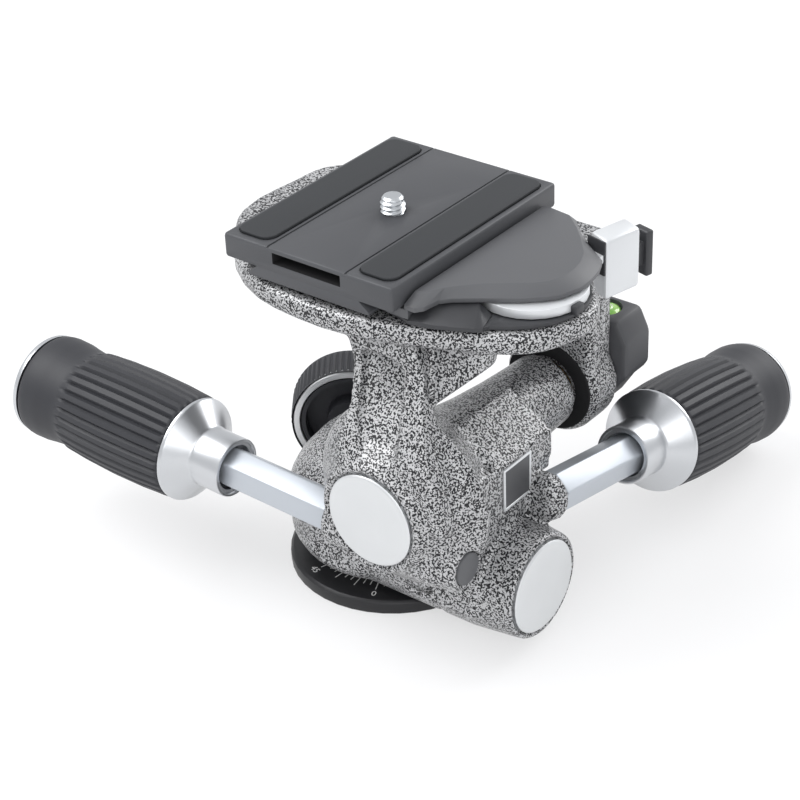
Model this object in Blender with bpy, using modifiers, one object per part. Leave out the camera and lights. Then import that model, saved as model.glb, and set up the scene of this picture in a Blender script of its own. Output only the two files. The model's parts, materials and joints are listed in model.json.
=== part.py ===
"""Three way pan and tilt head for a tripod: a scaled base, a turning housing, a tilting
casting, a rolling platform with a quick release clamp, two twist handles and a pan knob.

Metres, +Z up. The origin is the centre of the base's underside, on the pan axis.
X runs along the tilt axis, Y along the roll axis, and the long handles leave along -X and +Y.
"""

import math

import bmesh
import bpy
from mathutils import Matrix, Vector

MM = 0.001
DEG = math.pi / 180.0

# Driving dimensions
BASE_RADIUS = 30.0 * MM
BASE_THICKNESS = 4.2 * MM
GAP = 0.3 * MM
OVERRUN = 2.0 * MM
PLATFORM_TOP = 97.5 * MM
PLATE_LENGTH = 70.0 * MM
PLATE_WIDTH = 54.0 * MM
TILT_AXIS_Y = -11.3 * MM
TILT_AXIS_Z = 18.7 * MM
ROLL_AXIS_X = 27.3 * MM
ROLL_AXIS_Z = 46.3 * MM
ROUND_STEPS = 42
FINE_STEPS = 26
SMALL_STEPS = 16
CUTTER_TURN = 2.9 * DEG
FLAT_ANGLE = 0.5 * DEG

# Base disc, its threaded bush, screws and the pan spindle
BASE_EDGE = 0.8 * MM
SOCKET_RADIUS = 4.8 * MM
BUSH_RADIUS = 6.5 * MM
BUSH_HEIGHT = 11.0 * MM
SPINDLE_RADIUS = 8.8 * MM
SPINDLE_TOP = 30.0 * MM
SPINDLE_FLANGE_RADIUS = 13.5 * MM
SPINDLE_FLANGE_HEIGHT = 2.6 * MM
BASE_SCREW_COUNT = 3
BASE_SCREW_CIRCLE = 11.0 * MM
BASE_SCREW_RADIUS = 1.25 * MM
BASE_SCREW_HEAD_RADIUS = 2.4 * MM
BASE_SCREW_HEAD_HEIGHT = 1.6 * MM
WASHER_INNER_RADIUS = 15.0 * MM
WASHER_OUTER_RADIUS = 20.5 * MM
WASHER_THICKNESS = 0.5 * MM

# Pan housing
NECK_RADIUS = 22.0 * MM
HOUSING_RADIUS = 29.0 * MM
HOUSING_WAIST_HEIGHT = 11.0 * MM
HOUSING_SHOULDER_HEIGHT = 28.0 * MM
HOUSING_TOP = 41.0 * MM
HOUSING_TOP_RADIUS = 11.0 * MM
HOUSING_SIDE = 12.0 * MM
HOUSING_SIDE_FLOOR = 9.5 * MM
HOUSING_FRONT = 27.9 * MM
HOUSING_EDGE = 2.0 * MM
HUB_RADIUS = 16.3 * MM
HUB_START = -6.0 * MM
HUB_END = 32.7 * MM
AXLE_RADIUS = 6.0 * MM
AXLE_START = 9.0 * MM

# Pan knob: its axis passes beside the spindle
KNOB_ANGLE = 53.0 * DEG
KNOB_OFFSET = 13.0 * MM
KNOB_AXIS_Z = 26.8 * MM
KNOB_SEAT = 26.2 * MM
KNOB_RADIUS = 17.0 * MM
KNOB_THICKNESS = 12.5 * MM
KNOB_RECESS_RADIUS = 12.6 * MM
KNOB_RECESS_DEPTH = 4.5 * MM
KNOB_RING_OUTER = 16.4 * MM
KNOB_RING_INNER = 14.3 * MM
KNOB_RING_THICKNESS = 1.6 * MM
KNOB_BOSS_RADIUS = 6.5 * MM
KNOB_STUD_RADIUS = 3.0 * MM
KNOB_SHOE_LENGTH = 5.0 * MM
KNOB_SHOE_RADIUS = 3.4 * MM
KNOB_EDGE = 1.4 * MM

# Tilting casting
TILT_HUB_START = 33.3 * MM
TILT_HUB_END = 57.9 * MM
TILT_HUB_RADIUS = 16.3 * MM
TILT_HUB_END_RADIUS = 14.8 * MM
CAP_RADIUS = 13.3 * MM
CAP_THICKNESS = 1.6 * MM
CAP_PROUD = 0.5 * MM
CAP_EDGE = 0.4 * MM
BUSHING_WALL = 1.5 * MM
BARREL_FRONT = -27.9 * MM
BARREL_REAR = 33.3 * MM
BARREL_FRONT_RADIUS = 24.5 * MM
BARREL_REAR_RADIUS = 10.6 * MM
COLUMN_INNER = 24.0 * MM
COLUMN_FACE = 47.6 * MM
COLUMN_REAR = 8.6 * MM
COLUMN_TOP = 54.0 * MM
COLUMN_EDGE = 3.0 * MM
CLAMP_SLIT = 0.9 * MM
ROLL_AXLE_RADIUS = 5.5 * MM
BADGE_WIDTH = 12.2 * MM
BADGE_HEIGHT = 12.6 * MM
BADGE_THICKNESS = 0.8 * MM
BADGE_Y = -8.3 * MM

# Handles: rod, ferrule, grip and cap, the same on both
ROD_FLATS = 10.4 * MM
ROD_TURN = -20.9 * DEG
STUD_RADIUS = 3.3 * MM
TILT_STUD_LENGTH = 3.8 * MM
ROLL_STUD_LENGTH = 34.0 * MM
FERRULE_MOUTH_RADIUS = 8.4 * MM
FERRULE_NECK_LENGTH = 9.8 * MM
FERRULE_NECK_RADIUS = 8.4 * MM
FERRULE_RADIUS = 14.8 * MM
FERRULE_CONE_LENGTH = 6.0 * MM
FERRULE_RIM = 1.2 * MM
FERRULE_BORE_RADIUS = 6.4 * MM
FERRULE_BORE_DEPTH = 5.5 * MM
GRIP_LENGTH = 56.1 * MM
GRIP_WAIST_RADIUS = 14.1 * MM
GRIP_END_RADIUS = 15.0 * MM
GRIP_COLLAR_LENGTH = 17.0 * MM
HANDLE_CAP_THICKNESS = 2.4 * MM
HANDLE_CAP_RADIUS = 14.5 * MM
HANDLE_CORE_RADIUS = 4.0 * MM

TILT_HANDLE_X = 50.5 * MM
TILT_HANDLE_DROP = 11.3 * DEG
TILT_HANDLE_HEIGHT = 38.0 * MM
TILT_HANDLE_ROD_LENGTH = 36.0 * MM
TILT_BOSS_RADIUS = 7.0 * MM
TILT_BOSS_LENGTH = 4.3 * MM
TILT_BOSS_END_Y = 2.4 * MM
ROLL_HANDLE_Y = -34.2 * MM
ROLL_HANDLE_Z = 35.0 * MM
ROLL_HANDLE_RISE = 2.2 * DEG
ROLL_HANDLE_ROD_LENGTH = 35.0 * MM
ROLL_LUG_RADIUS = 7.8 * MM
ROLL_SPOT_RADIUS = 7.2 * MM
ROLL_LUG_LEFT = 8.0 * MM
ROLL_LUG_RIGHT = 50.6 * MM
PLUG_RADIUS = 4.6 * MM
PLUG_THICKNESS = 1.2 * MM

# Rolling platform: bell, leg, top plate, rear collar
BELL_FRONT = -44.3 * MM
BELL_REAR = -28.2 * MM
BELL_RIM_RADIUS = 14.7 * MM
BELL_REAR_RADIUS = 26.4 * MM
LEG_TOP = 90.0 * MM
LEG_WEB = 3.4 * MM
LEG_FRONT = -42.0 * MM
LEG_STEP = 0.5 * MM
LEG_LEAN_START = 63.0 * MM
LEG_TOP_FRONT = -27.0 * MM
LEG_ARCH_FOOT = 68.0 * MM
LEG_ARCH_REAR = -8.0 * MM
LEG_RIB = 4.6 * MM
LEG_LEFT_WAIST = -11.0 * MM
LEG_RIGHT_WAIST = 11.5 * MM
LEG_SHEAR_SHARE = 0.27
POCKET_FOOT = 63.5 * MM
POCKET_HEAD = 86.0 * MM
POCKET_DEPTH = 4.8 * MM
PLATFORM_THICKNESS = 6.2 * MM
PLATFORM_LEFT = -45.5 * MM
PLATFORM_RIGHT = 63.5 * MM
PLATFORM_FRONT = -36.0 * MM
PLATFORM_REAR = 40.0 * MM
PLATFORM_EDGE = 1.8 * MM
KEEL_THICKNESS = 4.0 * MM
KEEL_INSET_SHARE = 0.86
COLLAR_FRONT = 36.0 * MM
COLLAR_REAR = 47.6 * MM
COLLAR_RADIUS = 15.0 * MM
EAR_HALF_WIDTH = 13.0 * MM

# Level housing and vial
LEVEL_FRONT = 47.9 * MM
LEVEL_DEPTH = 13.0 * MM
LEVEL_RADIUS = 13.7 * MM
LEVEL_TOP = 18.4 * MM
LEVEL_RIGHT = 17.2 * MM
LEVEL_EDGE = 1.6 * MM
VIAL_RADIUS = 4.4 * MM
VIAL_DEPTH = 4.0 * MM
VIAL_X = 6.6 * MM
VIAL_Y = 6.0 * MM

# Quick release clamp
CLAMP_FLOOR = 1.0 * MM
CLAMP_LEFT = -22.0 * MM
CLAMP_RIGHT = 62.6 * MM
CLAMP_FRONT = -28.4 * MM
CLAMP_REAR = 29.0 * MM
CLAMP_WALL_FRONT = -30.2 * MM
CLAMP_WALL_FOOT = 1.0 * MM
COVER_BOTTOM = 101.9 * MM
COVER_THICKNESS = 3.2 * MM
COVER_LIP = 1.2 * MM
COVER_EDGE = 0.4 * MM
COVER_FRONT = -30.6 * MM
COVER_REAR = 31.0 * MM
COVER_RIGHT = 60.8 * MM
COVER_SKIRT_WIDTH = 6.7 * MM
COVER_SKIRT_SLOPE = 0.8 * MM
LEVER_X = 47.7 * MM
LEVER_Y = -1.5 * MM
LEVER_HUB_RADIUS = 14.4 * MM
LEVER_HUB_THICKNESS = 2.4 * MM
LEVER_PIN_RADIUS = 2.5 * MM
LEVER_BLOCK_LENGTH = 13.2 * MM
LEVER_BLOCK_SKEW = 1.0 * MM
LEVER_BLOCK_WIDTH = 7.3 * MM
LEVER_BLOCK_TOP = 105.6 * MM
LEVER_BLOCK_HEIGHT = 17.0 * MM
LEVER_BLOCK_EDGE = 1.2 * MM
LEVER_ANGLE = 76.0 * DEG
LEVER_REACH = 29.5 * MM
LEVER_BLOCK_OFFSET = 1.35 * MM
CATCH_THICKNESS = 2.4 * MM
CATCH_WIDTH = 5.4 * MM
CATCH_HEIGHT = 13.0 * MM
CATCH_POST = 2.6 * MM
CLAMP_SCREW_RADIUS = 1.5 * MM
CLAMP_SCREW_HEAD_RADIUS = 2.8 * MM
CLAMP_SCREW_HEAD_HEIGHT = 0.6 * MM
CLAMP_SCREW_X = 12.0 * MM
CLAMP_SCREW_Y = 20.0 * MM
CLAMP_SCREW_LENGTH = 5.0 * MM

# Camera plate
PLATE_X = 2.6 * MM
PLATE_Y = 0.8 * MM
PLATE_TOP = 108.8 * MM
PLATE_SLAB = 6.9 * MM
PLATE_FOOT_HALF = 19.4 * MM
PLATE_NECK_HALF = 16.6 * MM
PLATE_FOOT_LIP = 0.8 * MM
PLATE_FOOT_INSET = 0.15 * MM
PLATE_EDGE = 0.9 * MM
PLATE_SLOT_HALF = 10.9 * MM
PLATE_SLOT_HEIGHT = 3.1 * MM
PLATE_SLOT_DEPTH = 12.0 * MM
PLATE_SLOT_LOW = 2.6 * MM
PAD_WIDTH = 11.2 * MM
PAD_INSET = 1.9 * MM
PAD_END = 2.6 * MM
PAD_THICKNESS = 1.0 * MM
PAD_PROUD = 0.7 * MM
PAD_CORNER = 3.0 * MM
CAMERA_SCREW_X = 4.0 * MM
CAMERA_SCREW_Y = -0.6 * MM
CAMERA_SCREW_RADIUS = 3.1 * MM
CAMERA_SCREW_RISE = 4.4 * MM
CAMERA_SCREW_HEAD_RADIUS = 8.0 * MM
CAMERA_SCREW_HEAD_HEIGHT = 3.0 * MM
JAW_WIDTH = 6.5 * MM
JAW_LENGTH = 50.0 * MM

COLLECTION_NAME = "three_way_pan_tilt_head"
CUTTER_COLLECTION_NAME = "cutters_and_guides"

AXIS_TURNS = {
    "+Z": Matrix.Identity(3),
    "-Z": Matrix.Rotation(math.pi, 3, "X"),
    "+X": Matrix.Rotation(math.pi / 2, 3, "Y"),
    "-X": Matrix.Rotation(-math.pi / 2, 3, "Y"),
    "+Y": Matrix.Rotation(-math.pi / 2, 3, "X"),
    "-Y": Matrix.Rotation(math.pi / 2, 3, "X"),
}


def clear_scene():
    """Remove every object that the open file holds."""
    for item in list(bpy.data.objects):
        bpy.data.objects.remove(item, do_unlink=True)


def make_collection(name):
    """Add a collection to the scene."""
    collection = bpy.data.collections.new(name)
    bpy.context.scene.collection.children.link(collection)
    return collection


def make_material(name, colour, roughness, metallic):
    """Make a plain surface material."""
    material = bpy.data.materials.new(name)
    material.use_nodes = True
    shader = material.node_tree.nodes["Principled BSDF"]
    shader.inputs["Base Color"].default_value = (*colour, 1.0)
    shader.inputs["Roughness"].default_value = roughness
    shader.inputs["Metallic"].default_value = metallic
    material.diffuse_color = (*colour, 1.0)
    return material


clear_scene()
parts = make_collection(COLLECTION_NAME)
guides = make_collection(CUTTER_COLLECTION_NAME)


def place(item, location, axis="+Z", turn=None):
    """Put an object at a point, with its own Z along a named axis or a turn matrix."""
    rotation = turn if turn is not None else AXIS_TURNS[axis]
    item.matrix_world = Matrix.Translation(Vector(location)) @ rotation.to_4x4()
    return item


def mesh_object(name, mesh, collection):
    """Wrap a mesh in an object and link it."""
    item = bpy.data.objects.new(name, mesh)
    collection.objects.link(item)
    return item


def turned(name, profile, steps=FINE_STEPS, collection=None):
    """A turned shape: radius and height points, from the top down the outer side."""
    mesh = bpy.data.meshes.new(name)
    vertices = [(radius, 0.0, height) for radius, height in profile]
    edges = [(index, index + 1) for index in range(len(vertices) - 1)]
    if profile[0][0] > 0.0:
        edges.append((len(vertices) - 1, 0))
    mesh.from_pydata(vertices, edges, [])
    item = mesh_object(name, mesh, collection or guides)
    screw = item.modifiers.new("turn", "SCREW")
    screw.axis = "Z"
    screw.angle = 2.0 * math.pi
    screw.steps = steps
    screw.render_steps = steps
    screw.use_merge_vertices = True
    screw.merge_threshold = 0.01 * MM
    screw.use_smooth_shade = True
    return item


def solid_profile(points):
    """Close a turned profile of an unbored piece on its axis."""
    return [(0.0, points[0][1]), *points, (0.0, points[-1][1])]


def rod(name, radius, length, steps=SMALL_STEPS, collection=None):
    """A cylinder that stands on its origin."""
    return turned(name, solid_profile([(radius, length), (radius, 0.0)]), steps, collection)


def tube(name, outer, inner, length, steps=FINE_STEPS, collection=None):
    """A ring or sleeve that stands on its origin."""
    profile = [(outer, length), (outer, 0.0), (inner, 0.0), (inner, length)]
    return turned(name, profile, steps, collection)


def box(name, low, high, collection=None):
    """A box between two corners."""
    low, high = Vector(low), Vector(high)
    bpy.ops.mesh.primitive_cube_add(size=1.0, location=(low + high) / 2)
    item = bpy.context.active_object
    item.name = name
    item.data.name = name
    item.data.transform(Matrix.Diagonal((*(high - low), 1.0)))
    for owner in list(item.users_collection):
        owner.objects.unlink(item)
    (collection or guides).objects.link(item)
    return item


def outline_solid(name, points, thickness, smooth=False, collection=None):
    """A flat outline given a thickness, standing on its own XY plane, made a mesh."""
    curve = bpy.data.curves.new(name, "CURVE")
    curve.dimensions = "2D"
    curve.fill_mode = "BOTH"
    curve.extrude = thickness / 2
    curve.resolution_u = 3
    kind = "BEZIER" if smooth else "POLY"
    spline = curve.splines.new(kind)
    if smooth:
        spline.bezier_points.add(len(points) - 1)
        for knot, (u, v) in zip(spline.bezier_points, points):
            knot.co = (u, v, 0.0)
            knot.handle_left_type = "AUTO"
            knot.handle_right_type = "AUTO"
    else:
        spline.points.add(len(points) - 1)
        for knot, (u, v) in zip(spline.points, points):
            knot.co = (u, v, 0.0, 1.0)
    spline.use_cyclic_u = True
    source = mesh_object(name + "_curve", curve, guides)
    bpy.context.view_layer.update()
    evaluated = source.evaluated_get(bpy.context.evaluated_depsgraph_get())
    mesh = bpy.data.meshes.new_from_object(evaluated)
    bpy.data.objects.remove(source, do_unlink=True)
    work = bmesh.new()
    work.from_mesh(mesh)
    bmesh.ops.remove_doubles(work, verts=work.verts, dist=0.01 * MM)
    bmesh.ops.translate(work, verts=work.verts, vec=(0.0, 0.0, thickness / 2))
    bmesh.ops.dissolve_limit(work, angle_limit=FLAT_ANGLE, verts=work.verts, edges=work.edges)
    bmesh.ops.recalc_face_normals(work, faces=work.faces)
    work.to_mesh(mesh)
    work.free()
    mesh.name = name
    return mesh_object(name, mesh, collection or guides)


def spread(shares, low, high):
    """Points given as shares of the way between two corners."""
    return [(low[0] + (high[0] - low[0]) * u, low[1] + (high[1] - low[1]) * v) for u, v in shares]


def lofted(name, levels, collection=None):
    """A solid through flat outlines with the same number of points, given with their heights."""
    count = len(levels[0][1])
    vertices = [(x, y, height) for height, outline in levels for x, y in outline]
    faces = [tuple(reversed(range(count))), tuple(range((len(levels) - 1) * count, len(levels) * count))]
    for level in range(len(levels) - 1):
        for index in range(count):
            after = (index + 1) % count
            faces.append((level * count + index, level * count + after,
                          (level + 1) * count + after, (level + 1) * count + index))
    mesh = bpy.data.meshes.new(name)
    mesh.from_pydata(vertices, [], faces)
    return mesh_object(name, mesh, collection or guides)


def bevelled(item, width, segments=2, angle=40.0 * DEG):
    """Round an object's sharp edges."""
    bevel = item.modifiers.new("edges", "BEVEL")
    bevel.width = width
    bevel.segments = segments
    bevel.limit_method = "ANGLE"
    bevel.angle_limit = angle
    return item


def combine(item, tools, operation):
    """Join or cut an object with others, which become hidden guides."""
    for tool in tools:
        boolean = item.modifiers.new(operation.lower(), "BOOLEAN")
        boolean.operation = operation
        boolean.solver = "EXACT"
        boolean.object = tool
        hide_guide(tool)
    return item


def joined(item, *tools):
    """Unite an object with others."""
    return combine(item, tools, "UNION")


def cut(item, *tools):
    """Cut others out of an object, with turned cutters a part of a step round from it."""
    for tool in tools:
        if "turn" in tool.modifiers:
            tool.data.transform(Matrix.Rotation(CUTTER_TURN, 4, "Z"))
    return combine(item, tools, "DIFFERENCE")


def hide_guide(item):
    """Keep a guide in its own collection, drawn as wire and never rendered."""
    for owner in list(item.users_collection):
        owner.objects.unlink(item)
    guides.objects.link(item)
    item.hide_render = True
    item.display_type = "WIRE"


def frozen(item):
    """Bake an object's modifiers into its mesh, in place."""
    bpy.context.view_layer.update()
    evaluated = item.evaluated_get(bpy.context.evaluated_depsgraph_get())
    mesh = bpy.data.meshes.new_from_object(evaluated)
    mesh.name = item.name
    item.modifiers.clear()
    item.data = mesh
    return item


def pivot(name, location, parent=None, turn=None):
    """An empty on a joint's axis, which carries the pieces that move there."""
    item = bpy.data.objects.new(name, None)
    item.empty_display_size = BASE_RADIUS
    parts.objects.link(item)
    place(item, location, turn=turn or Matrix.Identity(3))
    if parent is not None:
        bpy.context.view_layer.update()
        item.parent = parent
        item.matrix_parent_inverse = parent.matrix_world.inverted()
    return item


def finish(item, name, material, carrier):
    """Name a finished piece, dress it, shade it smooth and hang it on its carrier."""
    item.name = name
    item.data.name = name
    item.data.materials.clear()
    item.data.materials.append(material)
    for owner in list(item.users_collection):
        owner.objects.unlink(item)
    parts.objects.link(item)
    item.data.shade_smooth()
    if item.data.polygons:
        item.data.set_sharp_from_angle(angle=35.0 * DEG)
    if carrier is not None:
        bpy.context.view_layer.update()
        item.parent = carrier
        item.matrix_parent_inverse = carrier.matrix_world.inverted()
    return item


def direction_turn(direction):
    """The turn that takes Z to a direction, keeping X level."""
    forward = Vector(direction).normalized()
    side = Vector((0.0, 0.0, 1.0)).cross(forward).normalized()
    return Matrix((side, forward.cross(side), forward)).transposed()


HAMMERTONE = make_material("hammertone", (0.30, 0.30, 0.30), 0.45, 0.1)
BLACK = make_material("black_anodised", (0.03, 0.03, 0.033), 0.5, 0.2)
GREY_PLASTIC = make_material("grey_plastic", (0.09, 0.09, 0.095), 0.5, 0.0)
RUBBER = make_material("rubber", (0.035, 0.035, 0.038), 0.8, 0.0)
SATIN_SILVER = make_material("satin_silver", (0.78, 0.79, 0.80), 0.35, 1.0)
STEEL = make_material("steel", (0.62, 0.62, 0.63), 0.3, 1.0)
BRASS = make_material("brass", (0.70, 0.52, 0.25), 0.35, 1.0)
NYLON = make_material("nylon", (0.80, 0.80, 0.76), 0.5, 0.0)
VIAL_GREEN = make_material("vial_green", (0.45, 0.85, 0.20), 0.1, 0.0)
BADGE_DARK = make_material("badge_dark", (0.12, 0.12, 0.13), 0.4, 0.3)

TILT_AXIS = Vector((0.0, TILT_AXIS_Y, TILT_AXIS_Z))
ROLL_AXIS = Vector((ROLL_AXIS_X, 0.0, ROLL_AXIS_Z))
KNOB_OUT = Vector((-math.cos(KNOB_ANGLE), math.sin(KNOB_ANGLE), 0.0))
KNOB_SIDE = Vector((-math.sin(KNOB_ANGLE), -math.cos(KNOB_ANGLE), 0.0))
KNOB_POINT = KNOB_SIDE * KNOB_OFFSET + Vector((0.0, 0.0, KNOB_AXIS_Z))
TILT_ROD_OUT = Vector((0.0, math.cos(TILT_HANDLE_DROP), -math.sin(TILT_HANDLE_DROP)))
TILT_ROD_POINT = Vector((TILT_HANDLE_X, 0.0, TILT_HANDLE_HEIGHT))
ROLL_ROD_OUT = Vector((-math.cos(ROLL_HANDLE_RISE), 0.0, math.sin(ROLL_HANDLE_RISE)))
ROLL_ROD_POINT = Vector((ROLL_LUG_LEFT, ROLL_HANDLE_Y, ROLL_HANDLE_Z))
PLATE_BOTTOM = PLATE_TOP - PLATE_SLAB
LEVER_POINT = Vector((LEVER_X, LEVER_Y, 0.0))

pan_pivot = pivot("pan_axis", (0.0, 0.0, 0.0))
knob_pivot = pivot("pan_knob_axis", KNOB_POINT, pan_pivot)
tilt_pivot = pivot("tilt_axis", TILT_AXIS, pan_pivot)
tilt_handle_pivot = pivot("tilt_handle_axis", TILT_ROD_POINT, tilt_pivot)
roll_pivot = pivot("roll_axis", ROLL_AXIS, tilt_pivot)
roll_handle_pivot = pivot("roll_handle_axis", ROLL_ROD_POINT, roll_pivot)
lever_pivot = pivot("lever_axis", LEVER_POINT + Vector((0.0, 0.0, PLATFORM_TOP)), roll_pivot)
plate_pivot = pivot("plate_slide_axis", (PLATE_X, PLATE_Y, PLATE_BOTTOM), roll_pivot)


def along_x(name, profile, x_start, y, z, steps=FINE_STEPS):
    """A turned shape whose heights are lengths along +X from a start."""
    return place(turned(name, profile, steps), (x_start, y, z), "+X")


def along_y(name, profile, steps=FINE_STEPS):
    """A turned shape on the roll axis, whose heights are places along +Y."""
    return place(turned(name, profile, steps), ROLL_AXIS, "+Y")


def make_base():
    """The scaled disc that sits on the tripod, its threaded bush, spindle, washer and screws."""
    rim = [
        (BASE_RADIUS - BASE_EDGE, BASE_THICKNESS),
        (BASE_RADIUS, BASE_THICKNESS - BASE_EDGE),
        (BASE_RADIUS, BASE_EDGE / 2),
        (BASE_RADIUS - BASE_EDGE / 2, 0.0),
    ]
    bore = BUSH_RADIUS + GAP
    disc = turned("base_disc", rim + [(bore, 0.0), (bore, BASE_THICKNESS)], ROUND_STEPS)
    screws = []
    screw_top = BASE_THICKNESS + SPINDLE_FLANGE_HEIGHT
    for index in range(BASE_SCREW_COUNT):
        angle = 2.0 * math.pi * index / BASE_SCREW_COUNT
        centre = (BASE_SCREW_CIRCLE * math.cos(angle), BASE_SCREW_CIRCLE * math.sin(angle))
        hole = [
            (BASE_SCREW_RADIUS + GAP, BASE_THICKNESS + OVERRUN),
            (BASE_SCREW_RADIUS + GAP, BASE_SCREW_HEAD_HEIGHT + GAP),
            (BASE_SCREW_HEAD_RADIUS + GAP, GAP),
            (BASE_SCREW_HEAD_RADIUS + GAP, -OVERRUN),
        ]
        cut(disc, place(turned("base_screw_hole", solid_profile(hole), SMALL_STEPS), (*centre, 0.0)))
        shape = [
            (BASE_SCREW_RADIUS, screw_top - GAP),
            (BASE_SCREW_RADIUS, BASE_SCREW_HEAD_HEIGHT),
            (BASE_SCREW_HEAD_RADIUS, GAP),
        ]
        screws.append(place(turned("base_screw", solid_profile(shape), SMALL_STEPS), (*centre, 0.0)))
    finish(disc, "base_disc", BLACK, None)
    for index, screw in enumerate(screws):
        finish(screw, f"base_screw_{index + 1}", STEEL, None)

    bush_profile = [(BUSH_RADIUS, BUSH_HEIGHT), (BUSH_RADIUS, GAP), (SOCKET_RADIUS, GAP),
                    (SOCKET_RADIUS, BUSH_HEIGHT)]
    finish(turned("thread_bush", bush_profile, FINE_STEPS), "thread_bush", BRASS, None)

    floor = BASE_THICKNESS + GAP
    bore_top = BUSH_HEIGHT + GAP
    spindle = turned("pan_spindle", [
        (0.0, SPINDLE_TOP), (SPINDLE_RADIUS, SPINDLE_TOP),
        (SPINDLE_RADIUS, floor + SPINDLE_FLANGE_HEIGHT),
        (SPINDLE_FLANGE_RADIUS, floor + SPINDLE_FLANGE_HEIGHT),
        (SPINDLE_FLANGE_RADIUS, floor), (bore, floor), (bore, bore_top), (0.0, bore_top),
    ], FINE_STEPS)
    for index in range(BASE_SCREW_COUNT):
        angle = 2.0 * math.pi * index / BASE_SCREW_COUNT
        centre = (BASE_SCREW_CIRCLE * math.cos(angle), BASE_SCREW_CIRCLE * math.sin(angle))
        hole = rod("spindle_screw_hole", BASE_SCREW_RADIUS + GAP, screw_top)
        cut(spindle, place(hole, (*centre, 0.0)))
    finish(spindle, "pan_spindle", STEEL, None)

    washer = tube("pan_washer", WASHER_OUTER_RADIUS, WASHER_INNER_RADIUS, WASHER_THICKNESS)
    finish(place(washer, (0.0, 0.0, floor)), "pan_washer", NYLON, None)


HOUSING_BOTTOM = BASE_THICKNESS + WASHER_THICKNESS + 2 * GAP


def make_pan_housing():
    """The domed housing that turns on the spindle and carries the tilt axle."""
    flange_top = BASE_THICKNESS + SPINDLE_FLANGE_HEIGHT + 2 * GAP
    housing = turned("pan_housing", [
        (0.0, HOUSING_TOP), (HOUSING_TOP_RADIUS, HOUSING_TOP),
        (HOUSING_TOP_RADIUS + (HOUSING_RADIUS - HOUSING_TOP_RADIUS) * 0.6,
         HOUSING_SHOULDER_HEIGHT + (HOUSING_TOP - HOUSING_SHOULDER_HEIGHT) * 0.62),
        (HOUSING_RADIUS - HOUSING_EDGE, HOUSING_SHOULDER_HEIGHT + HOUSING_EDGE),
        (HOUSING_RADIUS, HOUSING_SHOULDER_HEIGHT - HOUSING_EDGE),
        (HOUSING_RADIUS, HOUSING_WAIST_HEIGHT + HOUSING_EDGE),
        (HOUSING_RADIUS - HOUSING_EDGE, HOUSING_WAIST_HEIGHT - HOUSING_EDGE),
        (NECK_RADIUS, HOUSING_BOTTOM + HOUSING_EDGE / 2), (NECK_RADIUS, HOUSING_BOTTOM),
        (SPINDLE_FLANGE_RADIUS + GAP, HOUSING_BOTTOM), (SPINDLE_FLANGE_RADIUS + GAP, flange_top),
        (SPINDLE_RADIUS + GAP, flange_top), (SPINDLE_RADIUS + GAP, SPINDLE_TOP + GAP),
        (0.0, SPINDLE_TOP + GAP),
    ], ROUND_STEPS)
    reach = HOUSING_RADIUS + OVERRUN
    side = box("housing_side_cut", (HOUSING_SIDE, -reach, HOUSING_SIDE_FLOOR),
               (reach, reach, HOUSING_TOP + OVERRUN))
    front = box("housing_front_cut", (-reach, -reach, -OVERRUN),
                (reach, -HOUSING_FRONT, HOUSING_TOP + OVERRUN))
    seat = box("knob_seat_cut", (-reach, -reach, 0.0), (reach, reach, HOUSING_RADIUS))
    seat_origin = KNOB_OUT * KNOB_SEAT + Vector((0.0, 0.0, KNOB_AXIS_Z))
    place(seat, seat_origin + KNOB_OUT * HOUSING_RADIUS / 2, turn=direction_turn(KNOB_OUT))
    cut(housing, side, front)
    hub_length = HUB_END - HUB_START
    hub = along_x("pan_hub", solid_profile([
        (HUB_RADIUS - HOUSING_EDGE / 2, hub_length), (HUB_RADIUS, hub_length - HOUSING_EDGE / 2),
        (HUB_RADIUS, 0.0),
    ]), HUB_START, TILT_AXIS_Y, TILT_AXIS_Z, ROUND_STEPS)
    below = box("hub_base_cut", (-reach, -reach, -OVERRUN), (2 * reach, reach, HOUSING_BOTTOM + GAP))
    core = turned("hub_spindle_cut", solid_profile([
        (SPINDLE_RADIUS + OVERRUN, SPINDLE_TOP + OVERRUN), (SPINDLE_RADIUS + OVERRUN, flange_top + OVERRUN),
        (SPINDLE_FLANGE_RADIUS + OVERRUN, flange_top + OVERRUN), (SPINDLE_FLANGE_RADIUS + OVERRUN, 0.0),
    ]))
    joined(housing, cut(hub, below, core))
    axle_hole = rod("pan_axle_bore", AXLE_RADIUS + GAP, HUB_END + OVERRUN - AXLE_START + GAP)
    place(axle_hole, (AXLE_START - GAP, TILT_AXIS_Y, TILT_AXIS_Z), "+X")
    stud_hole = rod("pan_stud_bore", KNOB_SHOE_RADIUS + GAP, KNOB_SEAT + OVERRUN)
    place(stud_hole, KNOB_POINT, turn=direction_turn(KNOB_OUT))
    cut(housing, seat, axle_hole, stud_hole)
    finish(frozen(housing), "pan_housing", HAMMERTONE, pan_pivot)
    axle = rod("tilt_axle", AXLE_RADIUS, TILT_HUB_END - CAP_THICKNESS - OVERRUN - AXLE_START, FINE_STEPS)
    finish(place(axle, (AXLE_START, TILT_AXIS_Y, TILT_AXIS_Z), "+X"), "tilt_axle", STEEL, pan_pivot)


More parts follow.
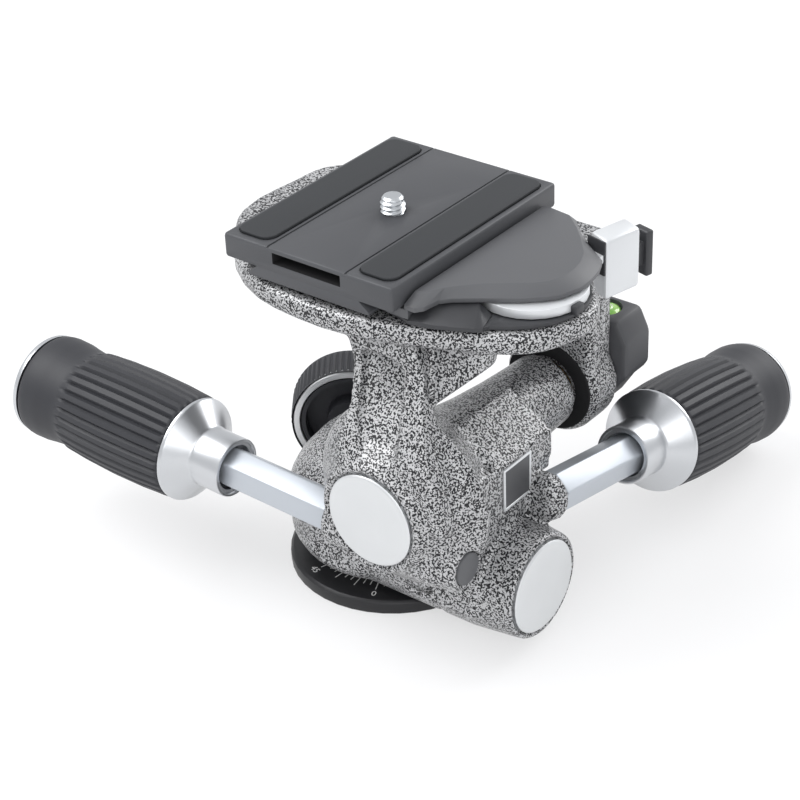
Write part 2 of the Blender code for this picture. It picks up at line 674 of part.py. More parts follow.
def make_pan_knob():
    """The ribbed knob that locks the pan, its ring, stud and clamping shoe."""
    turn = direction_turn(KNOB_OUT)
    inner_face = KNOB_SEAT + GAP
    outer_face = inner_face + KNOB_THICKNESS
    points = [
        (KNOB_RADIUS - KNOB_EDGE, outer_face), (KNOB_RADIUS, outer_face - KNOB_EDGE),
        (KNOB_RADIUS, inner_face + KNOB_EDGE / 2), (KNOB_RING_OUTER + GAP, inner_face),
        (KNOB_RING_OUTER + GAP, inner_face + KNOB_RING_THICKNESS + GAP),
        (KNOB_RING_INNER - GAP, inner_face + KNOB_RING_THICKNESS + GAP),
        (KNOB_RING_INNER - GAP, inner_face + GAP),
        (KNOB_RECESS_RADIUS, inner_face + KNOB_RECESS_DEPTH),
        (KNOB_BOSS_RADIUS, inner_face + KNOB_RECESS_DEPTH),
        (KNOB_BOSS_RADIUS, inner_face), (KNOB_STUD_RADIUS + GAP, inner_face),
        (KNOB_STUD_RADIUS + GAP, outer_face - KNOB_RECESS_DEPTH),
    ]
    knob = turned("pan_knob", [(0.0, outer_face), *points, (0.0, outer_face - KNOB_RECESS_DEPTH)],
                  ROUND_STEPS)
    finish(place(knob, KNOB_POINT, turn=turn), "pan_knob", RUBBER, knob_pivot)
    ring = tube("pan_knob_ring", KNOB_RING_OUTER, KNOB_RING_INNER, KNOB_RING_THICKNESS, ROUND_STEPS)
    finish(place(ring, KNOB_POINT + KNOB_OUT * inner_face, turn=turn), "pan_knob_ring", SATIN_SILVER,
           knob_pivot)
    stud_start = KNOB_SHOE_LENGTH + GAP
    stud = rod("pan_stud", KNOB_STUD_RADIUS, outer_face - KNOB_RECESS_DEPTH - GAP - stud_start)
    finish(place(stud, KNOB_POINT + KNOB_OUT * stud_start, turn=turn), "pan_stud", STEEL, knob_pivot)
    shoe = rod("pan_clamp_shoe", KNOB_SHOE_RADIUS, KNOB_SHOE_LENGTH - GAP)
    finish(place(shoe, KNOB_POINT + KNOB_OUT * GAP, turn=turn), "pan_clamp_shoe", BRASS, pan_pivot)


def tilt_rod_place(y):
    """The point of the tilt handle's axis at a place along Y."""
    return TILT_ROD_POINT + TILT_ROD_OUT * (y / TILT_ROD_OUT.y)


def make_tilt_casting():
    """The casting that tilts on the axle and carries the roll axle, with its clamp boss."""
    front_end = BARREL_FRONT - OVERRUN
    barrel_length = BARREL_REAR - front_end
    slope = BARREL_FRONT_RADIUS - BARREL_REAR_RADIUS
    swell_shares = ((0.0, 0.0), (0.10, 0.015), (0.30, 0.07), (0.50, 0.16), (0.65, 0.27),
                    (0.80, 0.50), (0.92, 0.80), (1.0, 1.0))
    barrel = along_y("roll_barrel", solid_profile([
        (BARREL_REAR_RADIUS + slope * rise, BARREL_REAR - barrel_length * share)
        for share, rise in swell_shares
    ]), ROUND_STEPS)
    barrel.data.transform(Matrix.Rotation(CUTTER_TURN, 4, "Z"))
    column = outline_solid("tilt_column", [
        (front_end - COLUMN_EDGE, TILT_AXIS_Z - COLUMN_EDGE), (front_end - COLUMN_EDGE, COLUMN_TOP),
        (-COLUMN_EDGE, COLUMN_TOP),
        (COLUMN_REAR - COLUMN_EDGE, ROLL_AXIS_Z + COLUMN_EDGE), (COLUMN_REAR, ROLL_AXIS_Z + COLUMN_EDGE / 2),
        (COLUMN_REAR, TILT_HANDLE_HEIGHT + TILT_BOSS_RADIUS),
        (TILT_BOSS_END_Y - HOUSING_EDGE, TILT_HANDLE_HEIGHT + TILT_BOSS_RADIUS - CAP_EDGE),
        (TILT_BOSS_END_Y - HOUSING_EDGE, TILT_HANDLE_HEIGHT - TILT_BOSS_RADIUS),
        (TILT_AXIS_Y + TILT_HUB_RADIUS * 0.8, TILT_AXIS_Z),
        (TILT_AXIS_Y + TILT_HUB_RADIUS * 0.55, TILT_AXIS_Z - TILT_HUB_RADIUS * 0.55),
        (TILT_AXIS_Y - TILT_HUB_RADIUS * 0.55, TILT_AXIS_Z - TILT_HUB_RADIUS * 0.55),
    ], COLUMN_FACE - COLUMN_INNER)
    upright = Matrix(((0.0, 0.0, 1.0), (1.0, 0.0, 0.0), (0.0, 1.0, 0.0)))
    place(column, (COLUMN_INNER, 0.0, 0.0), turn=upright)
    bevelled(column, COLUMN_EDGE / 2, 2, 50.0 * DEG)
    hub_start = TILT_HUB_START + GAP
    seat_x = TILT_HUB_END - CAP_THICKNESS + CAP_PROUD - GAP
    axle_bore = AXLE_RADIUS + BUSHING_WALL + GAP
    hub = along_x("tilt_hub", [
        (TILT_HUB_END_RADIUS - CAP_EDGE, TILT_HUB_END), (TILT_HUB_END_RADIUS, TILT_HUB_END - CAP_EDGE),
        (TILT_HUB_RADIUS, hub_start + (TILT_HUB_END - hub_start) * 0.4), (TILT_HUB_RADIUS, hub_start),
        (axle_bore, hub_start), (axle_bore, seat_x), (CAP_RADIUS + GAP, seat_x),
        (CAP_RADIUS + GAP, TILT_HUB_END),
    ], 0.0, TILT_AXIS_Y, TILT_AXIS_Z, ROUND_STEPS)
    boss_end = tilt_rod_place(TILT_BOSS_END_Y)
    boss = turned("tilt_boss", solid_profile([
        (TILT_BOSS_RADIUS - HOUSING_EDGE, TILT_BOSS_LENGTH),
        (TILT_BOSS_RADIUS - HOUSING_EDGE / 3, TILT_BOSS_LENGTH - HOUSING_EDGE / 3),
        (TILT_BOSS_RADIUS, TILT_BOSS_LENGTH - HOUSING_EDGE), (TILT_BOSS_RADIUS, HOUSING_EDGE),
        (TILT_BOSS_RADIUS - HOUSING_EDGE, 0.0),
    ]))
    boss_turn = direction_turn(TILT_ROD_OUT)
    place(boss, boss_end - TILT_ROD_OUT * TILT_BOSS_LENGTH, turn=boss_turn)
    joined(barrel, column)

    clearance = along_x("pan_hub_clearance", solid_profile([
        (HUB_RADIUS + 2 * GAP, TILT_HUB_START - HUB_START), (HUB_RADIUS + 2 * GAP, -HUB_RADIUS),
    ]), HUB_START, TILT_AXIS_Y, TILT_AXIS_Z, ROUND_STEPS)
    inner = box("housing_clearance", (-HOUSING_RADIUS, BARREL_FRONT - OVERRUN, 0.0),
                (HOUSING_SIDE + GAP, BARREL_REAR + OVERRUN, HOUSING_TOP + HOUSING_EDGE))
    front = box("bell_clearance", (-BASE_RADIUS, BARREL_FRONT - COLUMN_FACE, -OVERRUN),
                (COLUMN_FACE + BASE_RADIUS, BARREL_FRONT, PLATFORM_TOP))
    axle_hole = rod("tilt_axle_bore", axle_bore + OVERRUN / 2, TILT_HUB_END - TILT_HUB_START)
    place(axle_hole, (TILT_HUB_START - OVERRUN, TILT_AXIS_Y, TILT_AXIS_Z), "+X")
    cut(barrel, front, clearance, inner, axle_hole)
    joined(barrel, hub, boss)
    stud_hole = rod("tilt_stud_bore", STUD_RADIUS + GAP, TILT_STUD_LENGTH + OVERRUN)
    place(stud_hole, boss_end - TILT_ROD_OUT * TILT_STUD_LENGTH, turn=boss_turn)
    roll_hole = rod("roll_axle_seat", ROLL_AXLE_RADIUS + GAP, barrel_length + 2 * OVERRUN)
    place(roll_hole, ROLL_AXIS + Vector((0.0, BARREL_FRONT - OVERRUN, 0.0)), "+Y")
    badge_low = ROLL_AXIS_Z - BADGE_HEIGHT / 2
    badge_seat = box("badge_seat",
                     (COLUMN_FACE - BADGE_THICKNESS + GAP, BADGE_Y - BADGE_WIDTH / 2 - GAP, badge_low - GAP),
                     (COLUMN_FACE + OVERRUN, BADGE_Y + BADGE_WIDTH / 2 + GAP, badge_low + BADGE_HEIGHT + GAP))
    cut(barrel, stud_hole, roll_hole, badge_seat)
    finish(frozen(barrel), "tilt_casting", HAMMERTONE, tilt_pivot)

    bushing_start = TILT_HUB_START + GAP
    bushing = tube("tilt_bushing", AXLE_RADIUS + BUSHING_WALL, AXLE_RADIUS + GAP,
                   seat_x - OVERRUN - bushing_start)
    finish(place(bushing, (bushing_start, TILT_AXIS_Y, TILT_AXIS_Z), "+X"), "tilt_bushing", BRASS, tilt_pivot)
    make_cap("tilt_end_cap", (seat_x + GAP, TILT_AXIS_Y, TILT_AXIS_Z), "+X", tilt_pivot)
    badge = box("badge", (COLUMN_FACE - BADGE_THICKNESS + 2 * GAP, BADGE_Y - BADGE_WIDTH / 2, badge_low),
                (COLUMN_FACE + GAP, BADGE_Y + BADGE_WIDTH / 2, badge_low + BADGE_HEIGHT))
    finish(badge, "badge_plate", BADGE_DARK, tilt_pivot)


def make_cap(name, location, axis, carrier):
    """A silver disc that closes the end of a barrel."""
    cap = turned(name, solid_profile([
        (CAP_RADIUS - CAP_EDGE, CAP_THICKNESS), (CAP_RADIUS, CAP_THICKNESS - CAP_EDGE), (CAP_RADIUS, 0.0),
    ]), ROUND_STEPS)
    finish(place(cap, location, axis), name, SATIN_SILVER, carrier)


def make_handle(prefix, start, direction, rod_length, stud_length, carrier):
    """A twist handle: threaded stud, six-sided rod, ferrule, grip and end cap."""
    turn = direction_turn(direction)
    core = ROD_FLATS / 2 / math.cos(math.pi / 6)
    ferrule_start = rod_length
    neck_end = ferrule_start + FERRULE_NECK_LENGTH
    ferrule_end = neck_end + FERRULE_CONE_LENGTH
    grip_end = ferrule_end + GAP + GRIP_LENGTH
    core_end = grip_end - HANDLE_CAP_THICKNESS
    stem = turned(prefix + "_rod", solid_profile([
        (core, ferrule_start + FERRULE_BORE_DEPTH - GAP), (core, GAP),
    ]), 6)
    stem.data.transform(Matrix.Rotation(ROD_TURN, 4, "Z"))
    stud = rod(prefix + "_stud", STUD_RADIUS, stud_length - GAP + OVERRUN)
    place(stem, start, turn=turn)
    place(stud, start - Vector(direction) * (stud_length - GAP), turn=turn)
    joined(stem, stud)
    finish(frozen(stem), prefix + "_rod", SATIN_SILVER, carrier)
    stem.data.set_sharp_from_angle(angle=20.0 * DEG)

    ferrule = turned(prefix + "_ferrule", [
        (0.0, core_end), (HANDLE_CORE_RADIUS, core_end), (HANDLE_CORE_RADIUS, ferrule_end),
        (FERRULE_RADIUS, ferrule_end), (FERRULE_RADIUS, ferrule_end - FERRULE_RIM),
        (FERRULE_RADIUS - FERRULE_RIM / 2, ferrule_end - FERRULE_RIM * 1.5),
        (FERRULE_NECK_RADIUS, neck_end), (FERRULE_MOUTH_RADIUS, ferrule_start + CAP_EDGE),
        (FERRULE_MOUTH_RADIUS - CAP_EDGE, ferrule_start), (FERRULE_BORE_RADIUS, ferrule_start),
        (FERRULE_BORE_RADIUS, ferrule_start + FERRULE_BORE_DEPTH),
        (0.0, ferrule_start + FERRULE_BORE_DEPTH),
    ], ROUND_STEPS)
    finish(place(ferrule, start, turn=turn), prefix + "_ferrule", SATIN_SILVER, carrier)

    grip_start = ferrule_end + GAP
    collar_start = grip_end - HANDLE_CAP_THICKNESS - GAP - GRIP_COLLAR_LENGTH
    swell = GRIP_END_RADIUS - GRIP_WAIST_RADIUS
    bore = HANDLE_CORE_RADIUS + GAP
    grip = turned(prefix + "_grip", [
        (GRIP_END_RADIUS - CAP_EDGE, core_end - GAP),
        (GRIP_END_RADIUS, core_end - GAP - CAP_EDGE),
        (GRIP_END_RADIUS + swell * 0.1, core_end - GRIP_COLLAR_LENGTH * 0.45),
        (GRIP_WAIST_RADIUS + swell * 0.6, collar_start),
        (GRIP_WAIST_RADIUS + swell * 0.25, collar_start - GRIP_COLLAR_LENGTH * 0.35),
        (FERRULE_RADIUS + swell * 0.55, grip_start + GRIP_LENGTH * 0.3),
        (FERRULE_RADIUS + CAP_EDGE, grip_start + CAP_EDGE),
        (FERRULE_RADIUS, grip_start), (bore, grip_start), (bore, core_end - GAP),
    ], ROUND_STEPS)
    finish(place(grip, start, turn=turn), prefix + "_grip", RUBBER, carrier)

    cap = turned(prefix + "_end_cap", solid_profile([
        (HANDLE_CAP_RADIUS - HANDLE_CAP_THICKNESS / 2, grip_end),
        (HANDLE_CAP_RADIUS, grip_end - HANDLE_CAP_THICKNESS / 3),
        (HANDLE_CAP_RADIUS, core_end + GAP),
    ]), ROUND_STEPS)
    finish(place(cap, start, turn=turn), prefix + "_end_cap", SATIN_SILVER, carrier)


def platform_outline(inset_share=1.0):
    """The top view outline of the platform, as shares of its reach on each side."""
    reach_x = (PLATFORM_LEFT, PLATFORM_RIGHT)
    reach_y = (PLATFORM_FRONT, PLATFORM_REAR)
    shares = (
        (-1.0, -0.12), (-0.86, -0.40), (-0.50, -0.84), (0.0, -1.0), (0.36, -0.94), (0.70, -0.71),
        (0.915, -0.49), (1.0, -0.20), (1.015, 0.06), (0.95, 0.24), (0.80, 0.48), (0.67, 0.64),
        (0.60, 0.86), (0.50, 0.97), (0.30, 1.0), (-0.30, 0.96), (-0.80, 0.88), (-0.96, 0.72), (-1.0, 0.45),
    )
    points = []
    for share_x, share_y in shares:
        x = share_x * (reach_x[1] if share_x > 0 else -reach_x[0])
        y = share_y * (reach_y[1] if share_y > 0 else -reach_y[0])
        points.append((x * inset_share, y * inset_share))
    return points


def sheared(share, foot):
    """A shear that leans an outline's thickness to the left with height above a foot."""
    shear = Matrix.Identity(4)
    shear[2][1] = -share
    shear[2][3] = share * foot
    return shear


def leg_front(height):
    """How far forward the front of the leg is at a height, where it leans back to the top."""
    share = (height - LEG_LEAN_START) / (LEG_TOP - OVERRUN - LEG_LEAN_START)
    return LEG_FRONT + (LEG_TOP_FRONT - LEG_FRONT) * share


def make_platform():
    """The rolling casting: top plate, front leg with its bell, and rear collar."""
    top = outline_solid("platform_top", platform_outline(), PLATFORM_THICKNESS, smooth=True)
    place(top, (0.0, 0.0, PLATFORM_TOP - PLATFORM_THICKNESS))
    bevelled(top, PLATFORM_EDGE, 2)
    keel = outline_solid("platform_keel", platform_outline(KEEL_INSET_SHARE),
                         KEEL_THICKNESS + OVERRUN, smooth=True)
    keel_low = PLATFORM_TOP - PLATFORM_THICKNESS - KEEL_THICKNESS
    place(keel, (0.0, 0.0, keel_low))
    bevelled(keel, KEEL_THICKNESS * 0.7, 2)

    depth = BELL_REAR - BELL_FRONT
    flare = BELL_REAR_RADIUS - BELL_RIM_RADIUS
    flare_shares = ((1.0, 1.0), (0.80, 0.93), (0.62, 0.72), (0.42, 0.45), (0.20, 0.20), (0.05, 0.06),
                    (0.0, 0.0))
    seat_y = BELL_FRONT + CAP_THICKNESS - CAP_PROUD + GAP
    axle_bore = ROLL_AXLE_RADIUS + GAP
    bell = along_y("bell", [
        *[(BELL_RIM_RADIUS + flare * rise, BELL_FRONT + depth * share) for share, rise in flare_shares],
        (CAP_RADIUS + GAP, BELL_FRONT), (CAP_RADIUS + GAP, seat_y), (axle_bore, seat_y),
        (axle_bore, BELL_REAR),
    ], ROUND_STEPS)
    left, right = ROLL_AXIS_X + LEG_LEFT_WAIST, ROLL_AXIS_X + LEG_RIGHT_WAIST
    spread = BELL_RIM_RADIUS
    back = BELL_REAR - LEG_STEP
    leg = outline_solid("leg", [
        (left - spread * 0.40, ROLL_AXIS_Z), (left - spread * 0.10, ROLL_AXIS_Z + spread),
        (left - spread * 0.03, ROLL_AXIS_Z + spread * 1.8), (left - spread * 0.17, LEG_TOP - spread * 0.65),
        (left - spread * 0.36, LEG_TOP - spread * 0.27), (left - spread * 0.55, LEG_TOP),
        (right - spread * 0.25, LEG_TOP), (right - spread * 0.20, LEG_TOP - spread * 0.65),
        (right, ROLL_AXIS_Z + spread * 1.8),
        (right + spread * 0.5, ROLL_AXIS_Z + spread), (right + spread * 0.7, ROLL_AXIS_Z),
    ], back - LEG_FRONT)
    facing = Matrix(((1.0, 0.0, 0.0), (0.0, 0.0, -1.0), (0.0, 1.0, 0.0)))
    place(leg, (0.0, back, 0.0), turn=facing)
    bevelled(leg, PLATFORM_EDGE, 2)
    sideways = Matrix(((0.0, 0.0, 1.0), (1.0, 0.0, 0.0), (0.0, 1.0, 0.0)))
    lean = outline_solid("leg_front_cut", [
        (LEG_FRONT - OVERRUN, LEG_LEAN_START), (LEG_FRONT, LEG_LEAN_START),
        (LEG_TOP_FRONT, LEG_TOP - OVERRUN), (LEG_TOP_FRONT, LEG_TOP + OVERRUN),
        (LEG_FRONT - OVERRUN, LEG_TOP + OVERRUN),
    ], 2 * COLUMN_FACE)
    place(lean, (left - COLUMN_FACE / 2, 0.0, 0.0), turn=sideways)
    arch_reach = LEG_ARCH_REAR - back
    arch_rise = LEG_TOP - LEG_ARCH_FOOT
    arch = outline_solid("leg_arch", [
        (back - LEG_WEB / 2, LEG_ARCH_FOOT), (back, LEG_ARCH_FOOT),
        (back + arch_reach * 0.10, LEG_ARCH_FOOT + arch_rise * 0.42),
        (back + arch_reach * 0.28, LEG_ARCH_FOOT + arch_rise * 0.66),
        (back + arch_reach * 0.55, LEG_ARCH_FOOT + arch_rise * 0.84),
        (LEG_ARCH_REAR, LEG_TOP - OVERRUN), (LEG_ARCH_REAR, LEG_TOP), (back - LEG_WEB / 2, LEG_TOP),
    ], right - left - LEG_STEP)
    arch.data.transform(sheared(LEG_SHEAR_SHARE, LEG_ARCH_FOOT))
    place(arch, (left + LEG_STEP / 2, 0.0, 0.0), turn=sideways)
    bevelled(arch, PLATFORM_EDGE, 1)
    middle = (POCKET_FOOT + POCKET_HEAD) / 2
    pocket = outline_solid("leg_pocket", [
        (LEG_FRONT - OVERRUN, POCKET_FOOT), (LEG_FRONT + POCKET_DEPTH * 0.6, POCKET_FOOT),
        (leg_front(middle) + POCKET_DEPTH, middle),
        (leg_front(POCKET_HEAD) + POCKET_DEPTH * 0.8, POCKET_HEAD), (LEG_FRONT - OVERRUN, POCKET_HEAD),
    ], right - left - 2 * LEG_RIB)
    pocket.data.transform(sheared(LEG_SHEAR_SHARE, POCKET_FOOT))
    place(pocket, (left + LEG_RIB, 0.0, 0.0), turn=sideways)
    bevelled(pocket, PLATFORM_EDGE, 1)
    lug = along_x("handle_lug", solid_profile([
        (PLUG_RADIUS + PLATFORM_EDGE / 2, ROLL_LUG_RIGHT),
        (PLUG_RADIUS + PLATFORM_EDGE, ROLL_LUG_RIGHT - PLATFORM_EDGE / 2),
        (ROLL_LUG_RADIUS, ROLL_LUG_RIGHT - ROLL_LUG_RADIUS),
        (ROLL_LUG_RADIUS, ROLL_LUG_LEFT + PLATFORM_EDGE / 2),
        (ROLL_LUG_RADIUS - PLATFORM_EDGE / 2, ROLL_LUG_LEFT),
    ]), 0.0, ROLL_HANDLE_Y, ROLL_HANDLE_Z)
    behind = box("lug_back_cut", (-BASE_RADIUS, BELL_REAR - 2 * LEG_STEP, 0.0),
                 (COLUMN_FACE + BASE_RADIUS, COLLAR_FRONT, ROLL_AXIS_Z + BELL_REAR_RADIUS))
    cut(lug, behind, place(rod("lug_axle_cut", axle_bore + OVERRUN / 2, COLLAR_FRONT - LEG_FRONT),
                           ROLL_AXIS + Vector((0.0, LEG_FRONT, 0.0)), "+Y"))
    cut(leg, lean, place(rod("leg_axle_cut", axle_bore + OVERRUN / 2, COLLAR_FRONT - LEG_FRONT),
                   ROLL_AXIS + Vector((0.0, LEG_FRONT - OVERRUN, 0.0)), "+Y"))
    collar = along_y("collar", solid_profile([
        (COLLAR_RADIUS, COLLAR_REAR), (COLLAR_RADIUS, COLLAR_FRONT + PLATFORM_EDGE),
        (COLLAR_RADIUS - PLATFORM_EDGE, COLLAR_FRONT),
    ]), ROUND_STEPS)
    ear = box("rear_ear", (ROLL_AXIS_X - EAR_HALF_WIDTH, COLLAR_FRONT, ROLL_AXIS_Z),
              (ROLL_AXIS_X + EAR_HALF_WIDTH, COLLAR_REAR, keel_low + KEEL_THICKNESS + OVERRUN))
    ear_edge = bevelled(ear, PLATFORM_EDGE, 2)
    joined(top, keel, leg, arch, bell, lug, collar, ear_edge)

    rear_bore = rod("roll_bore_rear", ROLL_AXLE_RADIUS + BUSHING_WALL + GAP, COLLAR_REAR - COLLAR_FRONT + 2 * OVERRUN)
    place(rear_bore, ROLL_AXIS + Vector((0.0, COLLAR_FRONT - OVERRUN, 0.0)), "+Y")
    stud_hole = rod("roll_stud_bore", STUD_RADIUS + GAP, ROLL_STUD_LENGTH + OVERRUN)
    place(stud_hole, ROLL_ROD_POINT - ROLL_ROD_OUT * ROLL_STUD_LENGTH, turn=direction_turn(ROLL_ROD_OUT))
    plug_seat = rod("plug_seat", PLUG_RADIUS + GAP, PLUG_THICKNESS + OVERRUN)
    place(plug_seat, (ROLL_LUG_RIGHT - PLUG_THICKNESS, ROLL_HANDLE_Y, ROLL_HANDLE_Z), "+X")
    slit = box("roll_clamp_slit", (ROLL_AXIS_X - CLAMP_SLIT / 2, ROLL_HANDLE_Y - OVERRUN, 0.0),
               (ROLL_AXIS_X + CLAMP_SLIT / 2, BELL_REAR + OVERRUN, ROLL_AXIS_Z))
    screw_holes = []
    for x, y in clamp_screw_places():
        hole = rod("platform_screw_hole", CLAMP_SCREW_RADIUS + GAP, CLAMP_SCREW_LENGTH + OVERRUN, 12)
        screw_holes.append(place(hole, (x, y, PLATFORM_TOP - CLAMP_SCREW_LENGTH)))
    spot_face = rod("handle_spot_face", ROLL_SPOT_RADIUS, ROLL_LUG_RADIUS * 2, FINE_STEPS)
    place(spot_face, ROLL_ROD_POINT + ROLL_ROD_OUT * GAP / 2, turn=direction_turn(ROLL_ROD_OUT))
    cut(top, pocket, spot_face, rear_bore, stud_hole, plug_seat, slit, *screw_holes)
    finish(frozen(top), "platform_casting", HAMMERTONE, roll_pivot)

    make_cap("roll_end_cap", ROLL_AXIS + Vector((0.0, seat_y - GAP, 0.0)), "-Y", roll_pivot)
    plug = rod("plug", PLUG_RADIUS, PLUG_THICKNESS, FINE_STEPS)
    place(plug, (ROLL_LUG_RIGHT - PLUG_THICKNESS + GAP, ROLL_HANDLE_Y, ROLL_HANDLE_Z), "+X")
    finish(plug, "bore_plug", GREY_PLASTIC, roll_pivot)
    axle_start = seat_y + GAP
    axle = rod("roll_axle", ROLL_AXLE_RADIUS, COLLAR_REAR - OVERRUN - axle_start, FINE_STEPS)
    finish(place(axle, ROLL_AXIS + Vector((0.0, axle_start, 0.0)), "+Y"), "roll_axle", STEEL, tilt_pivot)
    bushing = tube("roll_bushing", ROLL_AXLE_RADIUS + BUSHING_WALL, ROLL_AXLE_RADIUS + GAP,
                   COLLAR_REAR - COLLAR_FRONT - GAP)
    finish(place(bushing, ROLL_AXIS + Vector((0.0, COLLAR_FRONT + GAP / 2, 0.0)), "+Y"),
           "roll_bushing", BRASS, roll_pivot)


def make_level():
    """The plastic housing behind the collar and the round vial in its top."""
    side = LEVEL_RADIUS
    outline = [
        (0.0, -side), (side * 0.60, -side * 0.80), (side * 0.98, -side * 0.20), (LEVEL_RIGHT, side * 0.10),
        (LEVEL_RIGHT, side * 0.85), (LEVEL_RIGHT - LEVEL_EDGE * 2, LEVEL_TOP), (side * 0.10, LEVEL_TOP),
        (-side * 0.60, side * 0.80), (-side * 0.95, side * 0.30), (-side * 0.95, -side * 0.30),
        (-side * 0.60, -side * 0.80),
    ]
    housing = outline_solid("level_housing", outline, LEVEL_DEPTH)
    facing = Matrix(((1.0, 0.0, 0.0), (0.0, 0.0, -1.0), (0.0, 1.0, 0.0)))
    place(housing, ROLL_AXIS + Vector((0.0, LEVEL_FRONT + LEVEL_DEPTH, 0.0)), turn=facing)
    bevelled(housing, LEVEL_EDGE, 2, 20.0 * DEG)
    vial_top = ROLL_AXIS + Vector((VIAL_X, LEVEL_FRONT + VIAL_Y, LEVEL_TOP))
    seat = rod("vial_seat", VIAL_RADIUS + GAP, VIAL_DEPTH + OVERRUN, FINE_STEPS)
    cut(housing, place(seat, vial_top - Vector((0.0, 0.0, VIAL_DEPTH + GAP))))
    finish(frozen(housing), "level_housing", GREY_PLASTIC, roll_pivot)
    vial = turned("level_vial", solid_profile([
        (VIAL_RADIUS * 0.6, VIAL_DEPTH), (VIAL_RADIUS * 0.92, VIAL_DEPTH - CAP_EDGE),
        (VIAL_RADIUS, VIAL_DEPTH - 2 * CAP_EDGE), (VIAL_RADIUS, 0.0),
    ]), FINE_STEPS)
    finish(place(vial, vial_top - Vector((0.0, 0.0, VIAL_DEPTH))), "level_vial", VIAL_GREEN, roll_pivot)


def clamp_screw_places():
    """Where the four screws hold the clamp to the platform."""
    return [(PLATE_X + CLAMP_SCREW_X * side, PLATE_Y + CLAMP_SCREW_Y * end)
            for side in (-1, 1) for end in (-1, 1)]


CLAMP_BOTTOM = PLATFORM_TOP + GAP
CHANNEL_FLOOR = CLAMP_BOTTOM + CLAMP_FLOOR
JAW_TOP = PLATE_BOTTOM - GAP
FOOT_BOTTOM = CHANNEL_FLOOR + GAP


def jaw_section(edge_x, back_x, low):
    """A jaw's cross section, undercut to hold the plate's foot."""
    lip = FOOT_BOTTOM + PLATE_FOOT_LIP
    rise_share = (JAW_TOP - lip) / (PLATE_BOTTOM - lip)
    lean = math.copysign((PLATE_FOOT_HALF - PLATE_NECK_HALF) * rise_share, edge_x - back_x)
    return [(back_x, low), (edge_x, low), (edge_x, lip), (edge_x + lean, JAW_TOP), (back_x, JAW_TOP)]


BASE_SHARES = (
    (0.0, 0.03), (0.544, 0.03), (0.626, 0.0), (0.70, 0.022), (0.772, 0.066), (0.813, 0.096), (0.83, 0.117),
    (0.837, 0.149), (0.887, 0.189), (0.936, 0.25), (0.976, 0.328), (0.998, 0.422), (1.0, 0.519),
    (0.981, 0.605), (0.941, 0.676), (0.851, 0.807), (0.733, 0.97), (0.686, 1.0), (0.0, 1.0),
)
WALL_FOOT_SHARES = (
    (0.631, -0.004), (0.701, 0.018), (0.773, 0.062), (0.816, 0.093), (0.834, 0.116), (0.81, 0.225),
    (0.631, 0.225),
)
WALL_TOP_SHARES = (
    (0.631, 0.062), (0.669, 0.088), (0.693, 0.142), (0.738, 0.189), (0.772, 0.215), (0.770, 0.225),
    (0.631, 0.225),
)
REAR_WALL_SHARES = (
    (0.631, 0.74), (0.691, 0.74), (0.719, 0.789), (0.719, 0.939), (0.686, 0.99), (0.631, 0.993),
)
COVER_RIM_SHARES = (
    (0.0, 0.003), (0.106, 0.0), (0.158, 0.032), (0.183, 0.11), (0.254, 0.149), (0.441, 0.214), (0.704, 0.30),
    (0.852, 0.364), (0.939, 0.416), (1.0, 0.513), (0.994, 0.586), (0.961, 0.669), (0.891, 0.744),
    (0.645, 0.831), (0.492, 0.892), (0.315, 0.984), (0.0, 1.0),
)
COVER_TOP_SHARES = (
    (0.006, 0.075), (0.058, 0.084), (0.113, 0.107), (0.17, 0.157), (0.26, 0.208), (0.395, 0.273),
    (0.576, 0.339), (0.711, 0.386), (0.797, 0.432), (0.852, 0.503), (0.849, 0.568), (0.82, 0.64),
    (0.756, 0.711), (0.582, 0.815), (0.457, 0.88), (0.28, 0.955), (0.006, 0.974),
)


